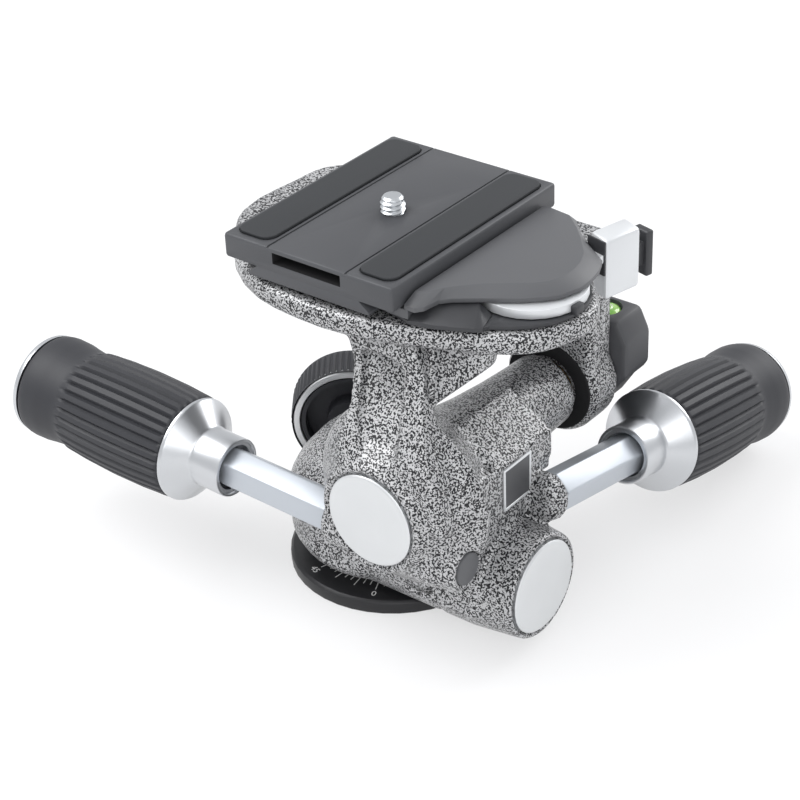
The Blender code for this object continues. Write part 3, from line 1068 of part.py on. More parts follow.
def make_clamp():
    """The quick release clamp: base with a fixed jaw, sliding jaw, cover, lever and catch."""
    right = PLATE_X + PLATE_FOOT_HALF
    low_corner, high_corner = (CLAMP_LEFT, CLAMP_WALL_FRONT), (CLAMP_RIGHT, CLAMP_REAR)
    base = outline_solid("clamp_base", spread(BASE_SHARES, low_corner, high_corner), CLAMP_FLOOR)
    place(base, (0.0, 0.0, CLAMP_BOTTOM))
    length = CLAMP_REAR - CLAMP_FRONT
    facing = Matrix(((1.0, 0.0, 0.0), (0.0, 0.0, -1.0), (0.0, 1.0, 0.0)))
    fixed_edge = PLATE_X - PLATE_FOOT_HALF - 2 * GAP
    fixed = outline_solid("fixed_jaw", jaw_section(fixed_edge, CLAMP_LEFT, CLAMP_BOTTOM + GAP), length)
    place(fixed, (0.0, CLAMP_REAR, 0.0), turn=facing)
    wall_x = right + JAW_WIDTH + 3 * GAP + OVERRUN
    wall_height = COVER_BOTTOM - GAP - CLAMP_BOTTOM - GAP
    foot = spread(WALL_FOOT_SHARES, low_corner, high_corner)
    wall = lofted("clamp_wall", [
        (0.0, foot), (CLAMP_WALL_FOOT, foot),
        (wall_height, spread(WALL_TOP_SHARES, low_corner, high_corner)),
    ])
    rear_wall = outline_solid("clamp_rear_wall", spread(REAR_WALL_SHARES, low_corner, high_corner), wall_height)
    for block in (wall, rear_wall):
        place(block, (0.0, 0.0, CLAMP_BOTTOM + GAP))
    joined(base, fixed, wall, rear_wall)
    pin_hole = rod("lever_pin_hole", LEVER_PIN_RADIUS + GAP, CLAMP_FLOOR + 2 * OVERRUN)
    place(pin_hole, LEVER_POINT + Vector((0.0, 0.0, CLAMP_BOTTOM - OVERRUN)))
    holes = []
    for x, y in clamp_screw_places():
        hole = turned("clamp_screw_hole", solid_profile([
            (CLAMP_SCREW_HEAD_RADIUS + GAP, CHANNEL_FLOOR + OVERRUN),
            (CLAMP_SCREW_HEAD_RADIUS + GAP, CHANNEL_FLOOR - CLAMP_SCREW_HEAD_HEIGHT - GAP),
            (CLAMP_SCREW_RADIUS + GAP, CHANNEL_FLOOR - CLAMP_SCREW_HEAD_HEIGHT - GAP),
            (CLAMP_SCREW_RADIUS + GAP, CLAMP_BOTTOM - OVERRUN),
        ]), 16)
        holes.append(place(hole, (x, y, 0.0)))
    cut(base, pin_hole, *holes)
    finish(frozen(base), "clamp_base", BLACK, roll_pivot)

    screws = []
    for x, y in clamp_screw_places():
        screw = turned("clamp_screw", solid_profile([
            (CLAMP_SCREW_HEAD_RADIUS, CHANNEL_FLOOR),
            (CLAMP_SCREW_HEAD_RADIUS, CHANNEL_FLOOR - CLAMP_SCREW_HEAD_HEIGHT),
            (CLAMP_SCREW_RADIUS, CHANNEL_FLOOR - CLAMP_SCREW_HEAD_HEIGHT),
            (CLAMP_SCREW_RADIUS, PLATFORM_TOP - CLAMP_SCREW_LENGTH + GAP),
        ]), 16)
        screws.append(place(screw, (x, y, 0.0)))
    for index, screw in enumerate(screws):
        finish(screw, f"clamp_screw_{index + 1}", STEEL, roll_pivot)

    jaw_edge = right + 2 * GAP
    jaw = outline_solid("sliding_jaw", jaw_section(jaw_edge, jaw_edge + JAW_WIDTH, FOOT_BOTTOM), JAW_LENGTH)
    place(jaw, (0.0, PLATE_Y + JAW_LENGTH / 2, 0.0), turn=facing)
    finish(jaw, "sliding_jaw", BLACK, roll_pivot)

    plate_side = PLATE_X + PLATE_WIDTH / 2 + 2 * GAP
    low_corner, high_corner = (plate_side, COVER_FRONT), (COVER_RIGHT, COVER_REAR)
    rim = spread(COVER_RIM_SHARES, low_corner, high_corner)
    cover = lofted("clamp_cover", [
        (0.0, rim), (COVER_LIP, rim),
        (COVER_THICKNESS, spread(COVER_TOP_SHARES, low_corner, high_corner)),
    ])
    place(cover, (0.0, 0.0, COVER_BOTTOM))
    skirt_right = wall_x - GAP
    skirt_left = skirt_right - COVER_SKIRT_WIDTH
    skirt_rear = PLATE_Y - JAW_LENGTH / 2 - 2 * GAP
    skirt = outline_solid("cover_skirt", [
        (skirt_left, CHANNEL_FLOOR + GAP), (skirt_right, CHANNEL_FLOOR + GAP),
        (skirt_right, COVER_BOTTOM + COVER_LIP / 2), (plate_side + GAP / 2, COVER_BOTTOM + COVER_LIP / 2),
        (plate_side + GAP / 2, JAW_TOP), (skirt_left + COVER_SKIRT_SLOPE, JAW_TOP),
        (skirt_left, JAW_TOP - COVER_SKIRT_SLOPE),
    ], skirt_rear - CLAMP_WALL_FRONT)
    joined(cover, place(skirt, (0.0, skirt_rear, 0.0), turn=facing))
    bevelled(cover, COVER_EDGE, 2, 22.0 * DEG)
    cover_hole = rod("cover_pin_hole", LEVER_PIN_RADIUS + GAP, COVER_THICKNESS - OVERRUN / 2 + OVERRUN)
    cut(cover, place(cover_hole, LEVER_POINT + Vector((0.0, 0.0, COVER_BOTTOM - OVERRUN))))
    finish(frozen(cover), "clamp_cover", GREY_PLASTIC, roll_pivot)

    pin = rod("lever_pin", LEVER_PIN_RADIUS, COVER_BOTTOM + COVER_THICKNESS - OVERRUN / 2 - GAP - CLAMP_BOTTOM)
    finish(place(pin, LEVER_POINT + Vector((0.0, 0.0, CLAMP_BOTTOM))), "lever_pin", STEEL, roll_pivot)
    make_lever()


def make_lever():
    """The silver clamping lever with its cam hub, and the catch on its end."""
    hub_low = CHANNEL_FLOOR + GAP
    reach = Vector((math.cos(LEVER_ANGLE), math.sin(LEVER_ANGLE), 0.0))
    side = Vector((reach.y, -reach.x, 0.0))
    lever = tube("clamp_lever", LEVER_HUB_RADIUS, LEVER_PIN_RADIUS + GAP, LEVER_HUB_THICKNESS)
    place(lever, LEVER_POINT + Vector((0.0, 0.0, hub_low)))
    turn = Matrix((reach, -side, Vector((0.0, 0.0, 1.0)))).transposed()
    near = LEVER_REACH - LEVER_BLOCK_LENGTH / 2
    end = near + LEVER_BLOCK_LENGTH
    low_y, high_y = LEVER_BLOCK_OFFSET - LEVER_BLOCK_WIDTH / 2, LEVER_BLOCK_OFFSET + LEVER_BLOCK_WIDTH / 2
    arm = outline_solid("lever_arm", [
        (LEVER_PIN_RADIUS * 2, low_y), (LEVER_REACH, low_y + LEVER_BLOCK_EDGE),
        (LEVER_REACH, high_y - LEVER_BLOCK_EDGE), (LEVER_PIN_RADIUS * 2, high_y),
    ], LEVER_HUB_THICKNESS - GAP)
    place(arm, LEVER_POINT + Vector((0.0, 0.0, hub_low + GAP / 2)), turn=turn)
    block = outline_solid("lever_block", [
        (near, low_y), (end - LEVER_BLOCK_EDGE, low_y), (end, high_y), (near + LEVER_BLOCK_SKEW, high_y),
    ], LEVER_BLOCK_HEIGHT)
    place(block, LEVER_POINT + Vector((0.0, 0.0, LEVER_BLOCK_TOP - LEVER_BLOCK_HEIGHT)), turn=turn)
    bevelled(block, LEVER_BLOCK_EDGE, 2)
    joined(lever, arm, block)
    catch_mid = LEVER_BLOCK_TOP - LEVER_BLOCK_HEIGHT / 2 - OVERRUN / 2
    half = CATCH_POST / 2
    mid_y = LEVER_BLOCK_OFFSET
    post_hole = box("catch_hole",
                    (end - 2 * CATCH_POST, mid_y - half - GAP, catch_mid - CATCH_HEIGHT / 4 - GAP),
                    (end + OVERRUN, mid_y + half + GAP, catch_mid + CATCH_HEIGHT / 4 + GAP))
    post_hole.data.transform(Matrix.Translation(post_hole.location))
    cut(lever, place(post_hole, LEVER_POINT, turn=turn))
    finish(frozen(lever), "clamp_lever", SATIN_SILVER, lever_pivot)
    face = end + OVERRUN
    tab = box("safety_catch", (face, mid_y - CATCH_WIDTH / 2, catch_mid - CATCH_HEIGHT / 2),
              (face + CATCH_THICKNESS, mid_y + CATCH_WIDTH / 2, catch_mid + CATCH_HEIGHT / 2))
    post = box("catch_post", (end - CATCH_POST, mid_y - half, catch_mid - CATCH_HEIGHT / 4),
               (face + CATCH_THICKNESS / 2, mid_y + half, catch_mid + CATCH_HEIGHT / 4))
    for piece in (tab, post):
        piece.data.transform(Matrix.Translation(piece.location))
        place(piece, LEVER_POINT, turn=turn)
    joined(bevelled(tab, CAP_EDGE, 1), post)
    finish(frozen(tab), "safety_catch", BLACK, lever_pivot)


def rounded_outline(half_x, half_y, radius, steps=4):
    """The corner points of a rectangle about the middle, with rounded corners."""
    points = []
    for quarter, (across, along) in enumerate(((1, 1), (-1, 1), (-1, -1), (1, -1))):
        for step in range(steps + 1):
            angle = (quarter + step / steps) * math.pi / 2
            points.append((across * (half_x - radius) + radius * math.cos(angle),
                           along * (half_y - radius) + radius * math.sin(angle)))
    return points


def make_plate():
    """The camera plate with its two pads and the camera screw."""
    half = PLATE_WIDTH / 2
    foot_top = FOOT_BOTTOM + PLATE_FOOT_LIP
    plate = box("camera_plate", (PLATE_X - half, PLATE_Y - PLATE_LENGTH / 2, PLATE_BOTTOM),
                (PLATE_X + half, PLATE_Y + PLATE_LENGTH / 2, PLATE_TOP))
    bevelled(plate, PLATE_EDGE, 2)
    foot = outline_solid("plate_foot", [
        (-PLATE_NECK_HALF, PLATE_BOTTOM + PLATE_EDGE * 1.5), (-PLATE_NECK_HALF, PLATE_BOTTOM),
        (-PLATE_FOOT_HALF, foot_top), (-PLATE_FOOT_HALF, FOOT_BOTTOM), (PLATE_FOOT_HALF, FOOT_BOTTOM),
        (PLATE_FOOT_HALF, foot_top), (PLATE_NECK_HALF, PLATE_BOTTOM),
        (PLATE_NECK_HALF, PLATE_BOTTOM + PLATE_EDGE * 1.5),
    ], PLATE_LENGTH - 2 * PLATE_FOOT_INSET)
    facing = Matrix(((1.0, 0.0, 0.0), (0.0, 0.0, -1.0), (0.0, 1.0, 0.0)))
    place(foot, (PLATE_X, PLATE_Y + PLATE_LENGTH / 2 - PLATE_FOOT_INSET, 0.0), turn=facing)
    joined(plate, foot)
    front = PLATE_Y - PLATE_LENGTH / 2
    slot = box("plate_slot", (PLATE_X - PLATE_SLOT_HALF, front - OVERRUN, PLATE_BOTTOM + PLATE_SLOT_LOW),
               (PLATE_X + PLATE_SLOT_HALF, front + PLATE_SLOT_DEPTH,
                PLATE_BOTTOM + PLATE_SLOT_LOW + PLATE_SLOT_HEIGHT))
    pad_low = PLATE_TOP + PAD_PROUD - PAD_THICKNESS
    pads, seats = [], []
    for side in (-1, 1):
        centre = PLATE_X + side * (half - PAD_INSET - PAD_WIDTH / 2)
        reach = PLATE_LENGTH / 2 - PAD_END
        pad = outline_solid("plate_pad", rounded_outline(PAD_WIDTH / 2, reach, PAD_CORNER), PAD_THICKNESS)
        pads.append(bevelled(place(pad, (centre, PLATE_Y, pad_low)), PAD_PROUD / 2, 2))
        seat = outline_solid("pad_seat", rounded_outline(PAD_WIDTH / 2 + GAP, reach + GAP, PAD_CORNER + GAP),
                             PAD_THICKNESS + OVERRUN)
        seats.append(place(seat, (centre, PLATE_Y, pad_low - GAP)))
    screw_hole = turned("camera_screw_hole", solid_profile([
        (CAMERA_SCREW_RADIUS + GAP, PLATE_TOP + OVERRUN),
        (CAMERA_SCREW_RADIUS + GAP, FOOT_BOTTOM + CAMERA_SCREW_HEAD_HEIGHT + 3 * GAP),
        (CAMERA_SCREW_HEAD_RADIUS + GAP, FOOT_BOTTOM + CAMERA_SCREW_HEAD_HEIGHT + 3 * GAP),
        (CAMERA_SCREW_HEAD_RADIUS + GAP, FOOT_BOTTOM - OVERRUN),
    ]), FINE_STEPS)
    cut(plate, slot, *seats, place(screw_hole, (CAMERA_SCREW_X, CAMERA_SCREW_Y, 0.0)))
    finish(frozen(plate), "camera_plate", BLACK, plate_pivot)
    for index, pad in enumerate(pads):
        finish(frozen(pad), f"plate_pad_{index + 1}", RUBBER, plate_pivot)
    head_low = FOOT_BOTTOM + GAP
    screw = turned("camera_screw", solid_profile([
        (CAMERA_SCREW_RADIUS - CAP_EDGE, PLATE_TOP + CAMERA_SCREW_RISE),
        (CAMERA_SCREW_RADIUS, PLATE_TOP + CAMERA_SCREW_RISE - CAP_EDGE),
        (CAMERA_SCREW_RADIUS, head_low + CAMERA_SCREW_HEAD_HEIGHT),
        (CAMERA_SCREW_HEAD_RADIUS, head_low + CAMERA_SCREW_HEAD_HEIGHT), (CAMERA_SCREW_HEAD_RADIUS, head_low),
    ]), FINE_STEPS)
    finish(place(screw, (CAMERA_SCREW_X, CAMERA_SCREW_Y, 0.0)), "camera_screw", STEEL, plate_pivot)


make_base()
make_pan_housing()
make_pan_knob()
make_tilt_casting()
make_handle("tilt_handle", tilt_rod_place(TILT_BOSS_END_Y), TILT_ROD_OUT, TILT_HANDLE_ROD_LENGTH,
            TILT_STUD_LENGTH, tilt_handle_pivot)
make_platform()
make_handle("roll_handle", ROLL_ROD_POINT, ROLL_ROD_OUT, ROLL_HANDLE_ROD_LENGTH, ROLL_STUD_LENGTH,
            roll_handle_pivot)
make_level()
make_clamp()
make_plate()
bpy.context.view_layer.update()
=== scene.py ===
"""Looks of a three way pan and tilt head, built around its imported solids.

Each sub-assembly is a class that models and dresses its own pieces. Lengths are in metres,
in the frame of the part: the pan axis is Z, the tilt axis runs along X and the roll axis along Y.
"""

import json
import logging
import math
from contextlib import contextmanager
from dataclasses import dataclass, field
from enum import Enum
from typing import Callable, Iterator, Sequence, Union

import bmesh
import bpy
from mathutils import Matrix, Vector

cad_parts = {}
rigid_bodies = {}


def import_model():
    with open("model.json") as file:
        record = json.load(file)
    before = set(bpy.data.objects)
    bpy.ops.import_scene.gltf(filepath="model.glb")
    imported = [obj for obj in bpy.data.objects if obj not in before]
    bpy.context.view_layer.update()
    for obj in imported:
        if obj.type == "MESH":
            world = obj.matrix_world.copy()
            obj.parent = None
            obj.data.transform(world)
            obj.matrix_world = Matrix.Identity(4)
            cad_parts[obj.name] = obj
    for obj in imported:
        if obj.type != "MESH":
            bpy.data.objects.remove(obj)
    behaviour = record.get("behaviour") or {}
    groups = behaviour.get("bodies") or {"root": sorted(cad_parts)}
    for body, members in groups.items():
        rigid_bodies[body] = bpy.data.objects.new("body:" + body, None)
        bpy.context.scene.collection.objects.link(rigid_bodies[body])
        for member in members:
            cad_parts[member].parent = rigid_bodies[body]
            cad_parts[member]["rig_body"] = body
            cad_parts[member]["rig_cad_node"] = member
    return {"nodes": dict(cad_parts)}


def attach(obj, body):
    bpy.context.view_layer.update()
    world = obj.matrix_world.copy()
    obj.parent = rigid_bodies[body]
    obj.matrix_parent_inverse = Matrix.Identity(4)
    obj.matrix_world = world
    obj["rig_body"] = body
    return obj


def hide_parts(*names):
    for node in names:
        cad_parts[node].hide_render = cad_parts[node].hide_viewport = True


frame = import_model()

LOG = logging.getLogger("pan_tilt_head")
MM = 0.001
FULL_TURN = 2.0 * math.pi
NODE_DOUBLES = 0.004 * MM
DOUBLES = 0.002 * MM
SAME_PLACE = 0.001 * MM
DISC_PROFILE = ((0.0, 1.6), (6.475, 1.58), (12.2, 1.52), (12.6, 1.4), (12.95, 1.05), (12.95, 0.0), (0.0, 0.0))
HALF_SPACE_REACH = 60.0 * MM
FINE_ROUND = 128
ROUND = 64
SMALL_ROUND = 48
DISC_ROUND = 160
RING_ROUND = 96
CAST_ANGLE = 60.0
ROD_ANGLE = 24.0
EDGE_ANGLE = 34.0
TILT_ROD_PLACE = (50.5 * MM, 2.4 * MM, 37.5204 * MM)
TILT_ROD_OUT = (0.0, 0.980615, -0.195946)
TILT_ROD_LENGTH = 36.0 * MM
ROLL_ROD_PLACE = (8.0 * MM, -34.2 * MM, 35.0 * MM)
ROLL_ROD_OUT = (-0.999263, 0.0, 0.038388)
ROLL_ROD_LENGTH = 35.0 * MM
THREAD_STEPS = 40
THREAD_HEIGHT_SHARE = 1.1
Colour = tuple[float, float, float]
Place = tuple[float, float, float]
Profile = Sequence[tuple[float, float]]


class Slot(Enum):
    """The record's material slots, named beside the finish of each piece."""

    HAMMERTONE = "hammertone"
    BLACK = "black_anodised"
    GREY = "grey_plastic"
    RUBBER = "rubber"
    SILVER = "satin_silver"
    STEEL = "steel"
    BRASS = "brass"
    NYLON = "nylon"
    VIAL = "vial_green"
    BADGE = "badge_dark"


class Direction(Enum):
    """Turns that take a piece made along Z to another axis of the part."""

    UP = Matrix.Identity(3)
    RIGHT = Matrix.Rotation(math.pi / 2, 3, "Y")
    BACK = Matrix.Rotation(-math.pi / 2, 3, "X")
    FRONT = Matrix.Rotation(math.pi / 2, 3, "X")


class Link:
    """A socket in a material, whose arithmetic adds Math nodes."""

    def __init__(self, recipe: "Recipe", socket: bpy.types.NodeSocket) -> None:
        """Keep the socket and the recipe that it belongs to."""
        self.recipe = recipe
        self.socket = socket

    def _math(self, operation: str, first: "Operand", second: "Operand") -> "Link":
        """Add a Math node on two operands."""
        return self.recipe.link("ShaderNodeMath", {"operation": operation}, {0: first, 1: second})

    def __add__(self, other: "Operand") -> "Link":
        """Sum."""
        return self._math("ADD", self, other)

    def __radd__(self, other: "Operand") -> "Link":
        """Sum, with the number first."""
        return self._math("ADD", other, self)

    def __sub__(self, other: "Operand") -> "Link":
        """Difference."""
        return self._math("SUBTRACT", self, other)

    def __rsub__(self, other: "Operand") -> "Link":
        """Difference, with the number first."""
        return self._math("SUBTRACT", other, self)

    def __mul__(self, other: "Operand") -> "Link":
        """Product."""
        return self._math("MULTIPLY", self, other)

    def __rmul__(self, other: "Operand") -> "Link":
        """Product, with the number first."""
        return self._math("MULTIPLY", other, self)


Operand = Union[Link, float, Sequence[float]]


class Recipe:
    """One procedural material: a Principled shader and the nodes that feed it."""

    def __init__(self, name: str) -> None:
        """Start a material with its own tree.

        Args:
            name: what the finish is called.
        """
        self.material = bpy.data.materials.new(name)
        self.material.use_nodes = True
        self.tree = self.material.node_tree
        self.shader = self.tree.nodes["Principled BSDF"]

    def link(self, kind: str, settings: dict, inputs: dict, output: Union[int, str] = 0) -> Link:
        """Add a node with its settings and its inputs.

        Args:
            kind: the node's type.
            settings: its own settings.
            inputs: values or links by socket name or number.
            output: the socket that is handed on.

        Returns:
            The chosen output as a link.
        """
        node = self.tree.nodes.new(kind)
        for key, value in settings.items():
            setattr(node, key, value)
        for key, value in inputs.items():
            if isinstance(value, Link):
                self.tree.links.new(value.socket, node.inputs[key])
            elif isinstance(value, (tuple, list)) and len(value) == 3 and node.inputs[key].type == "RGBA":
                node.inputs[key].default_value = (*value, 1.0)
            else:
                node.inputs[key].default_value = value
        return Link(self, node.outputs[output])

    def place(self) -> Link:
        """The place on the piece, in metres of the part's frame."""
        return self.link("ShaderNodeTexCoord", {}, {}, "Object")

    def noise(self, place: Link, cell: float, detail: float = 2.0, distortion: float = 0.0) -> Link:
        """Soft noise with cells of a given size in metres."""
        inputs = {"Vector": place, "Scale": 1.0 / cell, "Detail": detail, "Distortion": distortion}
        return self.link("ShaderNodeTexNoise", {}, inputs, 0)

    def step(self, value: Link, low: float, high: float) -> Link:
        """A soft step from 0 at low to 1 at high."""
        inputs = {"Value": value, "From Min": low, "From Max": high}
        return self.link("ShaderNodeMapRange", {"interpolation_type": "SMOOTHSTEP"}, inputs)

    def blend(self, share: Operand, first: Operand, second: Operand) -> Link:
        """A colour between two, by share."""
        node_inputs = {"Factor": share, 6: first, 7: second}
        return self.link("ShaderNodeMix", {"data_type": "RGBA"}, node_inputs, 2)

    def feed(self, **links: Link) -> None:
        """Join links to the shader's sockets, whose names have _ for a space."""
        for name, value in links.items():
            self.tree.links.new(value.socket, self.shader.inputs[name.replace("_", " ")])

    def fixed(self, **values: Operand) -> None:
        """Set plain values on the shader's sockets.

        Args:
            values: a value or a colour by socket name, which has _ for a space.
        """
        for name, value in values.items():
            socket = self.shader.inputs[name.replace("_", " ")]
            socket.default_value = (*value, 1.0) if socket.type == "RGBA" else value

    def relief(self, height: Link, depth: float, strength: float) -> None:
        """Raise the surface by a height map, with its depth in metres."""
        inputs = {"Height": height, "Distance": depth, "Strength": strength}
        self.feed(Normal=self.link("ShaderNodeBump", {}, inputs))


@dataclass(frozen=True)
class HammerPaint:
    """Hammered paint: silver flakes that broke up in a black lacquer."""

    name: str = "hammer_paint"
    silver: Colour = (0.43, 0.432, 0.438)
    lacquer: Colour = (0.007, 0.007, 0.009)
    cell: float = 0.52 * MM
    drift_cell: float = 17.0 * MM
    edge: float = 0.040
    level: float = 0.500
    detail: float = 1.2
    wander: float = 0.35
    drift_share: float = 0.05
    sparkle_share: float = 1.22
    tone_range: tuple[float, float] = (0.35, 0.65)
    flake_metallic: float = 0.40
    roughness: float = 0.34
    flake_roughness: float = 0.12
    coat: float = 0.12
    coat_roughness: float = 0.22
    specular: float = 0.34
    flake_relief_share: float = 0.6
    depth: float = 0.045 * MM
    strength: float = 0.6

    def build(self) -> bpy.types.Material:
        """Make the material."""
        recipe = Recipe(self.name)
        place = recipe.place()
        maze = recipe.noise(place, self.cell, self.detail, self.wander)
        drift = recipe.noise(place, self.drift_cell, 1.0)
        broken = maze + (drift - 0.5) * self.drift_share
        flake = recipe.step(broken, self.level - self.edge, self.level + self.edge)
        tone = recipe.noise(place, self.cell / 2, 1.0)
        bright = tuple(min(1.0, channel * self.sparkle_share) for channel in self.silver)
        silver = recipe.blend(recipe.step(tone, *self.tone_range), self.silver, bright)
        recipe.feed(
            Base_Color=recipe.blend(flake, self.lacquer, silver),
            Metallic=flake * self.flake_metallic,
            Roughness=self.roughness + flake * self.flake_roughness,
        )
        recipe.fixed(Coat_Weight=self.coat, Coat_Roughness=self.coat_roughness,
                     Specular_IOR_Level=self.specular)
        height = flake * self.flake_relief_share + tone * (1.0 - self.flake_relief_share)
        recipe.relief(height, self.depth, self.strength)
        return recipe.material


@dataclass(frozen=True)
class Grain:
    """A matt skin with a fine grain: anodised metal, moulded plastic or rubber, and the near-black of painted
    shade.
    """

    name: str
    colour: Colour
    roughness: float
    cell: float
    depth: float
    metallic: float = 0.0
    tint: float = 0.25
    strength: float = 0.5
    detail: float = 3.0
    cloud_cells: float = 60.0
    grain_share: float = 0.6
    cloud_roughness: float = 0.10
    grain_roughness: float = 0.04

    def build(self) -> bpy.types.Material:
        """Make the material."""
        recipe = Recipe(self.name)
        place = recipe.place()
        grain = recipe.noise(place, self.cell, self.detail)
        cloud = recipe.noise(place, self.cell * self.cloud_cells, self.detail)
        pale = tuple(min(1.0, channel * (1.0 + self.tint)) for channel in self.colour)
        deep = tuple(channel * (1.0 - self.tint) for channel in self.colour)
        smoothest = self.roughness - (self.cloud_roughness + self.grain_roughness) / 2
        recipe.feed(
            Base_Color=recipe.blend(grain * self.grain_share + cloud * (1.0 - self.grain_share), deep, pale),
            Roughness=smoothest + cloud * self.cloud_roughness + grain * self.grain_roughness,
        )
        recipe.fixed(Metallic=self.metallic)
        recipe.relief(grain, self.depth, self.strength)
        return recipe.material


@dataclass(frozen=True)
class TurnedMetal:
    """Metal turned on a lathe, with rings about an axis."""

    name: str
    colour: Colour
    roughness: float
    point: Sequence[float] = (0.0, 0.0, 0.0)
    turn: Matrix = field(default_factory=lambda: Matrix.Identity(3))
    ring: float = 0.12 * MM
    depth: float = 0.003 * MM
    strength: float = 0.10
    detail: float = 2.0
    cloud_cell: float = 9.0 * MM
    pale_share: float = 1.05
    deep_share: float = 0.93
    smoothest_drop: float = 0.05
    ring_roughness: float = 0.06
    cloud_roughness: float = 0.05

    def build(self) -> bpy.types.Material:
        """Make the material."""
        recipe = Recipe(self.name)
        place = recipe.place()
        angles = self.turn.to_euler()
        settings = {"vector_type": "TEXTURE"}
        inputs = {"Vector": place, "Location": tuple(self.point), "Rotation": tuple(angles)}
        local = recipe.link("ShaderNodeMapping", settings, inputs)
        across = {0: local, 1: (1.0, 1.0, 0.0)}
        flat = recipe.link("ShaderNodeVectorMath", {"operation": "MULTIPLY"}, across)
        radius = recipe.link("ShaderNodeVectorMath", {"operation": "LENGTH"}, {0: flat}, "Value")
        height = recipe.link("ShaderNodeSeparateXYZ", {}, {0: local}, 2)
        track = recipe.link("ShaderNodeCombineXYZ", {}, {0: radius, 1: height})
        rings = recipe.noise(track, self.ring, self.detail)
        cloud = recipe.noise(place, self.cloud_cell, self.detail)
        pale = tuple(min(1.0, channel * self.pale_share) for channel in self.colour)
        deep = tuple(channel * self.deep_share for channel in self.colour)
        smoothest = self.roughness - self.smoothest_drop
        recipe.feed(
            Base_Color=recipe.blend(rings * 0.5 + cloud * 0.5, deep, pale),
            Roughness=smoothest + rings * self.ring_roughness + cloud * self.cloud_roughness,
        )
        recipe.fixed(Metallic=1.0)
        recipe.relief(rings, self.depth, self.strength)
        return recipe.material


@dataclass(frozen=True)
class MarkPaint:
    """Thin paint of a mark, slightly uneven."""

    name: str
    colour: Colour
    roughness: float = 0.5
    cell: float = 0.4 * MM
    thin_share: float = 0.86
    patch_roughness: float = 0.1

    def build(self) -> bpy.types.Material:
        """Make the material."""
        recipe = Recipe(self.name)
        patch = recipe.noise(recipe.place(), self.cell)
        thin = tuple(channel * self.thin_share for channel in self.colour)
        recipe.feed(
            Base_Color=recipe.blend(patch, thin, self.colour),
            Roughness=self.roughness + patch * self.patch_roughness,
        )
        return recipe.material


@dataclass(frozen=True)
class ClearLiquid:
    """Coloured liquid under a clear window."""

    name: str
    colour: Colour
    shade: Colour
    transmission: float = 0.35
    cell: float = 3.0 * MM
    shade_range: tuple[float, float] = (0.35, 0.65)
    roughness: float = 0.06
    coat: float = 0.8
    coat_roughness: float = 0.03

    def build(self) -> bpy.types.Material:
        """Make the material."""
        recipe = Recipe(self.name)
        cloud = recipe.noise(recipe.place(), self.cell, 1.0)
        share = recipe.step(cloud, *self.shade_range)
        recipe.feed(Base_Color=recipe.blend(share, self.shade, self.colour))
        recipe.fixed(Roughness=self.roughness, Transmission_Weight=self.transmission,
                     Coat_Weight=self.coat, Coat_Roughness=self.coat_roughness)
        return recipe.material


